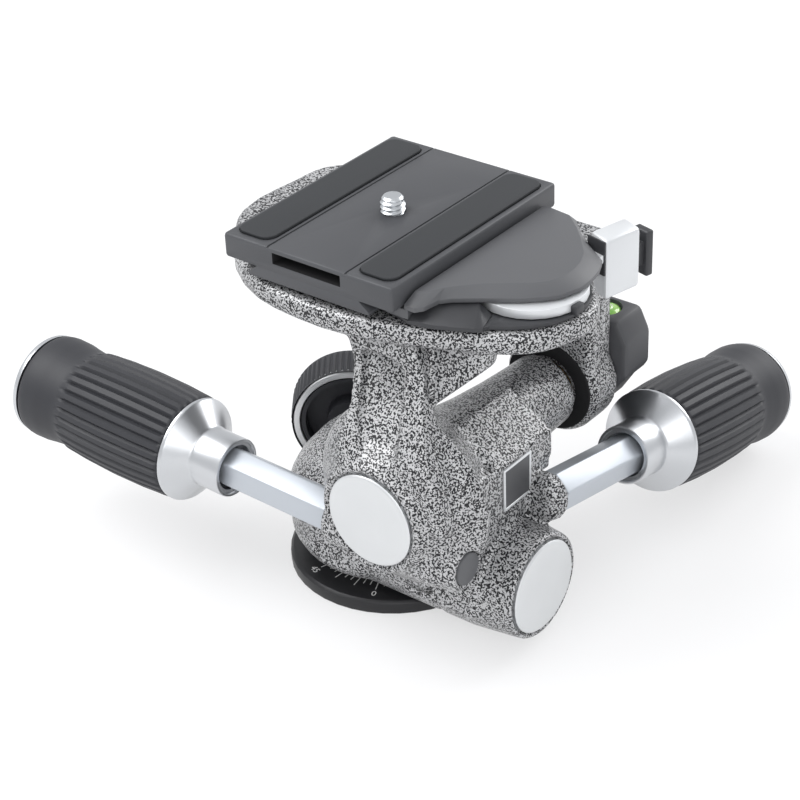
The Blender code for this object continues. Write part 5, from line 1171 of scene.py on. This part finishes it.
@dataclass
class Handle:
    """A twist handle: six-sided rod, ferrule, ribbed grip and end cap."""

    finishes: Finishes
    prefix: str
    start: tuple[float, float, float]
    direction: tuple[float, float, float]
    rod_length: float
    rib_count: int = 34
    facets: int = 8
    rib_depth: float = 0.80 * MM
    rib_flank_share: float = 0.55
    rib_start_share: float = 0.02
    rib_end_share: float = 0.705
    first_rib_share: float = 0.75
    grip_length: float = 56.1 * MM
    grip_rings: int = 44
    grip_stops: Profile = (
        (0.0, 14.75), (0.05, 15.0), (0.20, 15.45), (0.38, 15.6), (0.55, 15.35), (0.68, 14.9), (0.70, 14.85),
        (0.72, 14.35), (0.76, 14.1), (0.82, 14.45), (0.89, 14.95), (0.96, 15.05), (1.0, 14.75),
    )
    grip_bore: float = 4.3 * MM
    rib_rise: float = 0.35 * MM
    near_edge: float = 0.5 * MM
    far_edge: float = 0.4 * MM
    grip_least_radius: float = 12.0 * MM
    neck: float = 15.8 * MM
    gap: float = 0.3 * MM
    cap_thickness: float = 2.1 * MM
    core_radius: float = 4.0 * MM
    ferrule_profile: Profile = (
        (14.65, 15.8), (14.8, 15.6), (14.8, 14.9), (14.5, 14.4), (8.75, 10.2), (8.45, 9.8), (8.4, 9.2),
        (8.4, 0.5), (8.25, 0.12), (7.95, 0.0), (7.6, 0.0), (7.45, 0.12), (7.4, 0.6), (6.5, 0.62),
        (6.35, 0.8), (6.35, 5.5), (0.0, 5.5),
    )
    cap_profile: Profile = (
        (0.0, -1.0), (9.5, -1.0), (10.4, -0.25), (11.0, 0.0), (13.0, 0.0), (14.2, -0.55), (14.5, -1.1),
        (14.5, -2.1), (0.0, -2.1),
    )
    rod_edge: float = 0.45 * MM
    metal_colour: Colour = (0.63, 0.645, 0.665)
    metal_roughness: float = 0.30

    def build(self) -> None:
        """Make the handle's pieces."""
        self.turn = aim(self.direction)
        self.mouth = self.rod_length
        self.shoulder = self.mouth + self.neck
        self.end = self.shoulder + self.gap + self.grip_length
        self.metal = self.finishes.turned(self.prefix + "_metal", self.start, self.turn, self.metal_colour,
                                          self.metal_roughness)
        rod = Piece.of_node(self.prefix + "_hexagon", self.prefix + "_rod").flatten()
        rod.bevel(self.rod_edge, 3, ROD_ANGLE)
        rod.dress(self.finishes.pale_rod, self.prefix, Slot.SILVER, [self.prefix + "_rod"], ROD_ANGLE)
        self.ferrule()
        self.grip()
        self.cap()

    def settle(self, piece: Piece, material: bpy.types.Material, slot: Slot, nodes: Sequence[str],
               angle: float = 34.0) -> None:
        """Take a piece made along Z to the handle's axis and dress it."""
        piece.put(self.start, self.turn).dress(material, self.prefix, slot, nodes, angle)

    def ferrule(self) -> None:
        """The bright ferrule: core, thin rim, cone, neck and bored mouth."""
        core_end = self.end - self.cap_thickness - self.gap
        core = [(0.0, core_end), (self.core_radius, core_end), (self.core_radius, self.shoulder)]
        profile = [*core, *metric(self.ferrule_profile, self.mouth)]
        ferrule = turned(self.prefix + "_bright_ferrule", profile, FINE_ROUND)
        self.settle(ferrule, self.metal, Slot.SILVER, [self.prefix + "_ferrule"])

    def radius_at(self, share: float) -> float:
        """The grip's outer radius, eased between its stops.

        Args:
            share: how far along the grip, from the ferrule to the far end.

        Returns:
            The radius.
        """
        for (low, start), (high, stop) in zip(self.grip_stops, self.grip_stops[1:]):
            if share <= high:
                along = (share - low) / (high - low)
                along = (along * along * (3.0 - 2.0 * along) + along) / 2
                return (start + (stop - start) * along) * MM
        return self.grip_stops[-1][1] * MM

    def rib_share(self, share: float) -> float:
        """How deep the grooves are, as a share of their full depth.

        Args:
            share: how far along the grip, from the ferrule to the far end.

        Returns:
            The share of the full depth.
        """
        if share < self.rib_start_share:
            return self.first_rib_share
        return 1.0 if share < self.rib_end_share else 0.0

    def grip(self) -> None:
        """The rubber grip: a smooth band at the far end and ribs along the rest."""
        low = self.shoulder + self.gap
        high = self.end - self.cap_thickness - 2 * self.gap
        shares = [index / self.grip_rings for index in range(self.grip_rings + 1)]
        rings = [(self.radius_at(share), low + (high - low) * share) for share in shares]
        (first, _), (last, _) = rings[0], rings[-1]
        rings[0] = (first, low + self.rib_rise)
        steps = self.rib_count * self.facets
        profile = [(self.grip_bore, low), (first - self.near_edge, low), *rings[:-1],
                   (last, high - self.far_edge), (last - self.far_edge, high), (self.grip_bore, high)]
        grip = turned(self.prefix + "_ribbed_grip", profile, steps, closed=True)
        flanks = (1, self.facets - 1)
        with grip.edit():
            for share, (radius, height) in zip(shares[:-1], rings):
                depth = self.rib_share(share) * self.rib_depth
                if depth <= 0.0:
                    continue
                for columns, part in (((0,), 1.0), (flanks, self.rib_flank_share)):
                    grip.squeeze(lambda co: abs(co.z - height) < SAME_PLACE
                                 and math.hypot(co.x, co.y) > self.grip_least_radius
                                 and facet_of(co, steps) % self.facets in columns,
                                 1.0 - depth * part / radius)
        self.settle(grip, self.finishes.rubber, Slot.RUBBER, [self.prefix + "_grip"], 50.0)

    def cap(self) -> None:
        """The bright end cap with a shallow turned dish."""
        cap = turned(self.prefix + "_bright_cap", metric(self.cap_profile, self.end), FINE_ROUND)
        self.settle(cap, self.metal, Slot.SILVER, [self.prefix + "_end_cap"])


@dataclass
class Platform:
    """The rolling casting with its end disc, plug and bubble level."""

    finishes: Finishes
    body: str = "platform"
    cast_cell: float = 0.70 * MM
    cast_rounds: int = 6
    disc_place: Place = (27.3 * MM, -43.2 * MM, 46.3 * MM)
    disc_colour: Colour = (0.75, 0.765, 0.775)
    disc_roughness: float = 0.42
    plug_place: Place = (49.7 * MM, -34.2 * MM, 35.0 * MM)
    plug_profile: Profile = ((0.0, 1.2), (3.9, 1.2), (4.4, 1.0), (4.6, 0.6), (4.6, 0.0), (0.0, 0.0))
    # Place and profile of a near-black ring that paints the shade in the collar's recess.
    seal_place: Place = (27.3 * MM, 35.6 * MM, 46.3 * MM)
    seal_profile: Profile = ((13.4, 0.9), (13.4, 0.15), (13.1, 0.0), (9.0, 0.0), (9.0, 0.9))
    level_edge: float = 0.3 * MM
    vial_place: Place = (33.9 * MM, 53.9 * MM, 64.7 * MM)
    vial_profile: Profile = (
        (0.0, 0.05), (1.6, 0.0), (3.0, -0.2), (3.9, -0.6), (4.35, -1.2), (4.35, -4.0), (0.0, -4.0),
    )
    bubble_profile: Profile = ((1.45, 0.02), (1.75, 0.16), (2.05, 0.02), (1.75, -0.1))
    web_low: Place = (30.0 * MM, -33.0 * MM, 66.0 * MM)
    web_high: Place = (49.0 * MM, -27.0 * MM, 92.0 * MM)
    web_lean: float = 10.5 * MM
    web_foot: Place = (35.5 * MM, -25.0 * MM, 74.3 * MM)
    web_angle: float = math.radians(-43.9)

    def build(self) -> None:
        """Make the pieces."""
        casting = Piece.of_node("platform_casting_body", "platform_casting")
        casting.cut([self.leg_web()], "UNION").cast(self.cast_cell, self.cast_rounds)
        casting.dress(self.finishes.paint, self.body, Slot.HAMMERTONE, ["platform_casting"], CAST_ANGLE)
        turn = Direction.FRONT.value
        material = self.finishes.turned("roll_disc_metal", self.disc_place, turn, self.disc_colour,
                                        self.disc_roughness)
        disc = end_disc("roll_end_disc").put(self.disc_place, turn)
        disc.dress(material, self.body, Slot.SILVER, ["roll_end_cap"])
        plug = turned("lug_plug", metric(self.plug_profile), ROUND)
        plug.put(self.plug_place, Direction.RIGHT.value)
        plug.dress(self.finishes.grey, self.body, Slot.GREY, ["bore_plug"])
        paint_node("roll_bushing", self.finishes.brass)
        # A near-black ring at the barrel's rear end is painted shade for the recess in the collar.
        shade_ring = turned("roll_seal", metric(self.seal_profile), RING_ROUND, closed=True)
        shade_ring.put(self.seal_place, Direction.BACK.value)
        shade_ring.dress(self.finishes.shadow, self.body, Slot.RUBBER)
        self.level()

    def leg_web(self) -> Piece:
        """The web that spreads from the leg to the underside of the platform's right edge."""
        web = Piece.block("leg_web", self.web_low, self.web_high)
        with web.edit():
            web.pick(lambda co: co.z > self.web_high[2] - SAME_PLACE)
            bpy.ops.transform.translate(value=(0.0, self.web_lean, 0.0))
        return web.cut([half_space("below_web", self.web_foot, self.web_angle, upper=False)])

    def level(self) -> None:
        """The moulded level housing, the green vial and its bubble."""
        housing = Piece.of_node("level_moulding_body", "level_housing").flatten()
        housing.bevel(self.level_edge, 2, 30.0)
        housing.dress(self.finishes.level_grey, self.body, Slot.GREY, ["level_housing"])
        vial = turned("level_window", metric(self.vial_profile), ROUND).put(self.vial_place)
        vial.dress(self.finishes.liquid, self.body, Slot.VIAL, ["level_vial"])
        bubble = turned("level_bubble_ring", metric(self.bubble_profile), SMALL_ROUND, closed=True)
        bubble.put(self.vial_place).dress(self.finishes.bubble, self.body, Slot.VIAL)


@dataclass
class Clamp:
    """The quick release clamp: base, jaw, cover, lever and catch."""

    finishes: Finishes
    body: str = "platform"
    lever_pivot: Place = (47.7 * MM, -1.5 * MM, 0.0)
    lever_angle: float = math.radians(76.0)
    plate_low: Place = (22.75 * MM, -1.8 * MM, 95.5 * MM)
    plate_high: Place = (23.3 * MM, 4.6 * MM, 105.1 * MM)
    buffer_low: Place = (61.0 * MM, -5.0 * MM, 98.4 * MM)
    buffer_high: Place = (63.4 * MM, -1.6 * MM, 100.9 * MM)
    fine_edge: float = 0.2 * MM
    jaw_edge: float = 0.25 * MM
    lever_edge: float = 0.3 * MM
    screw_count: int = 4

    def build(self) -> None:
        """Make the pieces."""
        base = Piece.of_node("clamp_base_body", "clamp_base").flatten().bevel(self.fine_edge, 2, EDGE_ANGLE)
        base.dress(self.finishes.black, self.body, Slot.BLACK, ["clamp_base"])
        cover = Piece.of_node("clamp_cover_body", "clamp_cover")
        cover.dress(self.finishes.grey, self.body, Slot.GREY, ["clamp_cover"], 28.0)
        jaw = Piece.of_node("sliding_jaw_bar", "sliding_jaw").flatten().bevel(self.jaw_edge, 2, 30.0)
        jaw.dress(self.finishes.black, "jaw", Slot.BLACK, ["sliding_jaw"])
        lever = Piece.of_node("clamp_lever_arm", "clamp_lever").flatten()
        lever.bevel(self.lever_edge, 3, EDGE_ANGLE)
        lever.dress(self.finishes.lever, "lever", Slot.SILVER, ["clamp_lever"])
        catch = Piece.of_node("safety_catch_tab", "safety_catch").flatten()
        catch.bevel(self.lever_edge, 3, EDGE_ANGLE)
        catch.dress(self.finishes.black, "catch", Slot.BLACK, ["safety_catch"])
        paint_node("lever_pin", self.finishes.steel)
        for number in range(self.screw_count):
            paint_node(f"clamp_screw_{number + 1}", self.finishes.steel)
        self.catch_face()
        self.buffer()

    def catch_face(self) -> None:
        """The catch's black inner plate on the near end of the lever's block."""
        face = Piece.block("catch_inner_plate", self.plate_low, self.plate_high)
        face.bevel(self.fine_edge, 2).put(self.lever_pivot, Matrix.Rotation(self.lever_angle, 3, "Z"))
        face.dress(self.finishes.black, "lever", Slot.BLACK)

    def buffer(self) -> None:
        """The black buffer on the rim of the hub, beside the arm."""
        stop = Piece.block("lever_stop", self.buffer_low, self.buffer_high)
        stop.bevel(self.lever_edge, 2).dress(self.finishes.black, "lever", Slot.BLACK)


@dataclass
class CameraPlate:
    """The sliding plate with its two pads and the camera screw."""

    finishes: Finishes
    body: str = "plate"
    middle: tuple[float, float] = (2.6 * MM, 0.8 * MM)
    top: float = 108.8 * MM
    half_length: float = 35.0 * MM
    edge: float = 0.14 * MM
    groove_width: float = 0.55 * MM
    groove_depth: float = 0.45 * MM
    groove_offset: float = 12.5 * MM
    groove_overrun: float = 1.0 * MM
    slot_half_width: float = 11.0 * MM
    slot_reach: tuple[float, float] = (0.3 * MM, 12.3 * MM)
    slot_drop: tuple[float, float] = (4.6 * MM, 0.9 * MM)
    pad_offset: float = 19.5 * MM
    pad_size: tuple[float, float] = (11.2 * MM, 64.8 * MM)
    pad_range: tuple[float, float] = (-0.3 * MM, 0.7 * MM)
    pad_corner: float = 3.0 * MM
    pad_edge: float = 0.3 * MM
    screw_place: tuple[float, float] = (4.0 * MM, -0.6 * MM)
    screw_head: Profile = ((8.0, 102.4), (8.0, 99.4), (0.0, 99.4))
    screw_tip: Profile = ((0.0, 4.4), (2.1, 4.37), (2.35, 4.28), (2.85, 3.65), (2.62, 3.45))
    thread_root: float = 2.62 * MM
    thread_pitch: float = 1.27 * MM
    thread_turns: int = 4
    thread_top: float = 3.65 * MM
    thread_sink: float = 0.05 * MM
    screw_colour: Colour = (0.58, 0.60, 0.62)
    screw_roughness: float = 0.33

    def build(self) -> None:
        """Make the pieces."""
        plate = Piece.of_node("camera_plate_body", "camera_plate").flatten()
        plate.cut([self.groove(side) for side in (-1, 1)])
        plate.bevel(self.edge, 2, EDGE_ANGLE)
        plate.dress(self.finishes.plate_black, self.body, Slot.BLACK, ["camera_plate"])
        self.slot_walls(plate)
        for number, side in ((1, -1), (2, 1)):
            self.pad(number, side)
        self.screw()

    def slot_walls(self, plate: Piece) -> None:
        """Paint the walls of the end slot near black, as painted shade inside the slot.

        Args:
            plate: the plate, with its slot.
        """
        # The walls of the end slot take the near-black of painted shade.
        plate.item.data.materials.append(self.finishes.shadow)
        front = self.middle[1] - self.half_length
        mouth, back = (front + reach for reach in self.slot_reach)
        low, high = (self.top - drop for drop in self.slot_drop)
        with plate.edit():
            plate.pick_faces(lambda mid, normal: abs(mid.x - self.middle[0]) < self.slot_half_width
                             and mouth < mid.y < back and low < mid.z < high)
            plate.item.active_material_index = 1
            bpy.ops.object.material_slot_assign()

    def groove(self, side: int) -> Piece:
        """The cutter of a fine groove beside a pad.

        Args:
            side: -1 for the left groove and 1 for the right one.

        Returns:
            The cutter.
        """
        x = self.middle[0] + side * self.groove_offset
        half, reach = self.groove_width / 2, self.half_length + self.groove_overrun
        return Piece.block("groove", (x - half, self.middle[1] - reach, self.top - self.groove_depth),
                           (x + half, self.middle[1] + reach, self.top + self.groove_overrun))

    def pad(self, number: int, side: int) -> None:
        """A rubber strip with round corners and a soft edge.

        Args:
            number: the number of the node that it stands for.
            side: -1 for the left pad and 1 for the right one.
        """
        x, y = self.middle[0] + side * self.pad_offset, self.middle[1]
        half_x, half_y = (size / 2 for size in self.pad_size)
        low, high = (self.top + rise for rise in self.pad_range)
        pad = Piece.block(f"pad_strip_{number}", (x - half_x, y - half_y, low),
                          (x + half_x, y + half_y, high))
        with pad.edit():
            pad.pick_edges(lambda a, b: abs(a.z - b.z) > (high - low) / 2)
            bpy.ops.mesh.bevel(offset=self.pad_corner, segments=8, affect="EDGES")
        pad.bevel(self.pad_edge, 3, 50.0)
        pad.dress(self.finishes.pad, self.body, Slot.RUBBER, [f"plate_pad_{number}"])

    def screw(self) -> None:
        """The camera screw: threaded end with a domed tip, and its flat head below."""
        place = (*self.screw_place, 0.0)
        head = metric(self.screw_head)
        core = turned("camera_screw_body", [
            *metric(self.screw_tip, self.top), (self.thread_root, head[0][1]), *head,
        ], ROUND)
        thread = helix("camera_screw_thread", self.thread_root - self.thread_sink, self.thread_pitch,
                       self.thread_turns)
        drop = self.thread_pitch * (self.thread_turns + 0.5)
        thread.put((0.0, 0.0, self.top + self.thread_top - drop))
        core.join([thread]).put(place)
        material = self.finishes.turned("camera_screw_metal", place, Direction.UP.value, self.screw_colour,
                                        self.screw_roughness)
        core.dress(material, "camera_screw_body", Slot.STEEL, ["camera_screw"], 40.0)


@dataclass
class Studio:
    """Pale floor, soft light and the photograph's camera."""

    focal_length: float = 98.05
    sensor: float = 36.0
    clip: tuple[float, float] = (0.01, 50.0)
    right: Place = (0.790982, 0.610804, -0.035576)
    up: Place = (-0.296306, 0.433287, 0.851155)
    back: Place = (0.535303, -0.662707, 0.523708)
    eye: Place = (318.447 * MM, -390.280 * MM, 359.560 * MM)
    floor_size: float = 6.0
    floor_height: float = -0.05 * MM
    floor_colour: Colour = (0.86, 0.86, 0.865)
    floor_roughness: float = 0.85
    floor_glow: Colour = (0.985, 0.985, 0.99)
    glow_share: float = 0.62
    world_colour: tuple[float, float, float, float] = (0.97, 0.98, 1.0, 1.0)
    world_strength: float = 0.80
    target: Place = (10.0 * MM, 0.0, 55.0 * MM)
    lamps: tuple[tuple[str, Place, float, float], ...] = (
        ("key_softbox", (-0.55, -0.35, 0.95), 0.75, 9.0),
        ("fill_softbox", (0.75, -0.75, 0.75), 0.9, 4.5),
        ("rim_softbox", (0.25, 0.95, 0.60), 0.6, 5.0),
    )

    def build(self) -> None:
        """Set up the floor, the light and the camera."""
        self.camera()
        self.floor()
        self.world()
        for name, place, size, power in self.lamps:
            self.lamp(name, place, size, power)

    def camera(self) -> None:
        """The camera, at the viewing angle of the photograph."""
        data = bpy.data.cameras.new("photo_camera")
        data.lens = self.focal_length
        data.sensor_width = self.sensor
        data.clip_start, data.clip_end = self.clip
        item = bpy.data.objects.new("photo_camera", data)
        bpy.context.scene.collection.objects.link(item)
        turn = Matrix((self.right, self.up, self.back)).transposed()
        item.matrix_world = Matrix.Translation(self.eye) @ turn.to_4x4()
        bpy.context.scene.camera = item

    def floor(self) -> None:
        """A pale floor that shows near white to the camera and keeps the shadow."""
        bpy.ops.object.select_all(action="DESELECT")
        bpy.ops.mesh.primitive_plane_add(size=self.floor_size, location=(0.0, 0.0, self.floor_height))
        floor = bpy.context.active_object
        floor.name = "studio_floor"
        recipe = Recipe("pale_floor")
        rays = recipe.tree.nodes.new("ShaderNodeLightPath")
        seen = Link(recipe, rays.outputs["Is Camera Ray"]) + Link(recipe, rays.outputs["Is Glossy Ray"])
        recipe.fixed(Base_Color=self.floor_colour, Roughness=self.floor_roughness)
        glow = recipe.link("ShaderNodeEmission", {}, {"Color": self.floor_glow, "Strength": 1.0})
        surface = Link(recipe, recipe.shader.outputs[0])
        mixed = recipe.link("ShaderNodeMixShader", {}, {0: seen * self.glow_share, 1: surface, 2: glow})
        output = next(node for node in recipe.tree.nodes if node.type == "OUTPUT_MATERIAL")
        recipe.tree.links.new(mixed.socket, output.inputs["Surface"])
        floor.data.materials.append(recipe.material)

    def world(self) -> None:
        """An even pale surround."""
        world = bpy.data.worlds.new("studio_surround")
        bpy.context.scene.world = world
        world.use_nodes = True
        nodes, links = world.node_tree.nodes, world.node_tree.links
        background = nodes["Background"]
        background.inputs["Color"].default_value = self.world_colour
        rays = nodes.new("ShaderNodeLightPath")
        strength = nodes.new("ShaderNodeMapRange")
        strength.inputs["To Min"].default_value = self.world_strength
        strength.inputs["To Max"].default_value = 1.0
        links.new(rays.outputs["Is Camera Ray"], strength.inputs["Value"])
        links.new(strength.outputs["Result"], background.inputs["Strength"])
        bpy.context.scene.view_settings.view_transform = "Standard"

    def lamp(self, name: str, place: Place, size: float, power: float) -> None:
        """A soft square lamp that faces the head.

        Args:
            name: the lamp's name.
            place: where it stands.
            size: the length of its side.
            power: its power in watts.
        """
        data = bpy.data.lights.new(name, "AREA")
        data.size = size
        data.energy = power
        item = bpy.data.objects.new(name, data)
        bpy.context.scene.collection.objects.link(item)
        spot = Vector(place)
        item.location = spot
        item.rotation_euler = (Vector(self.target) - spot).to_track_quat("-Z", "Y").to_euler()


def main() -> None:
    """Build the head's looks, sub-assembly by sub-assembly."""
    logging.basicConfig(level=logging.INFO, format="%(name)s: %(message)s")
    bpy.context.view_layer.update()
    finishes = Finishes()
    parts = (
        Studio(),
        Base(finishes),
        PanBody(finishes),
        TiltBody(finishes),
        Handle(finishes, "tilt_handle", TILT_ROD_PLACE, TILT_ROD_OUT, TILT_ROD_LENGTH),
        Platform(finishes),
        Handle(finishes, "roll_handle", ROLL_ROD_PLACE, ROLL_ROD_OUT, ROLL_ROD_LENGTH),
        Clamp(finishes),
        CameraPlate(finishes),
    )
    for part in parts:
        LOG.info("building %s", type(part).__name__)
        part.build()


if __name__ == "__main__":
    main()
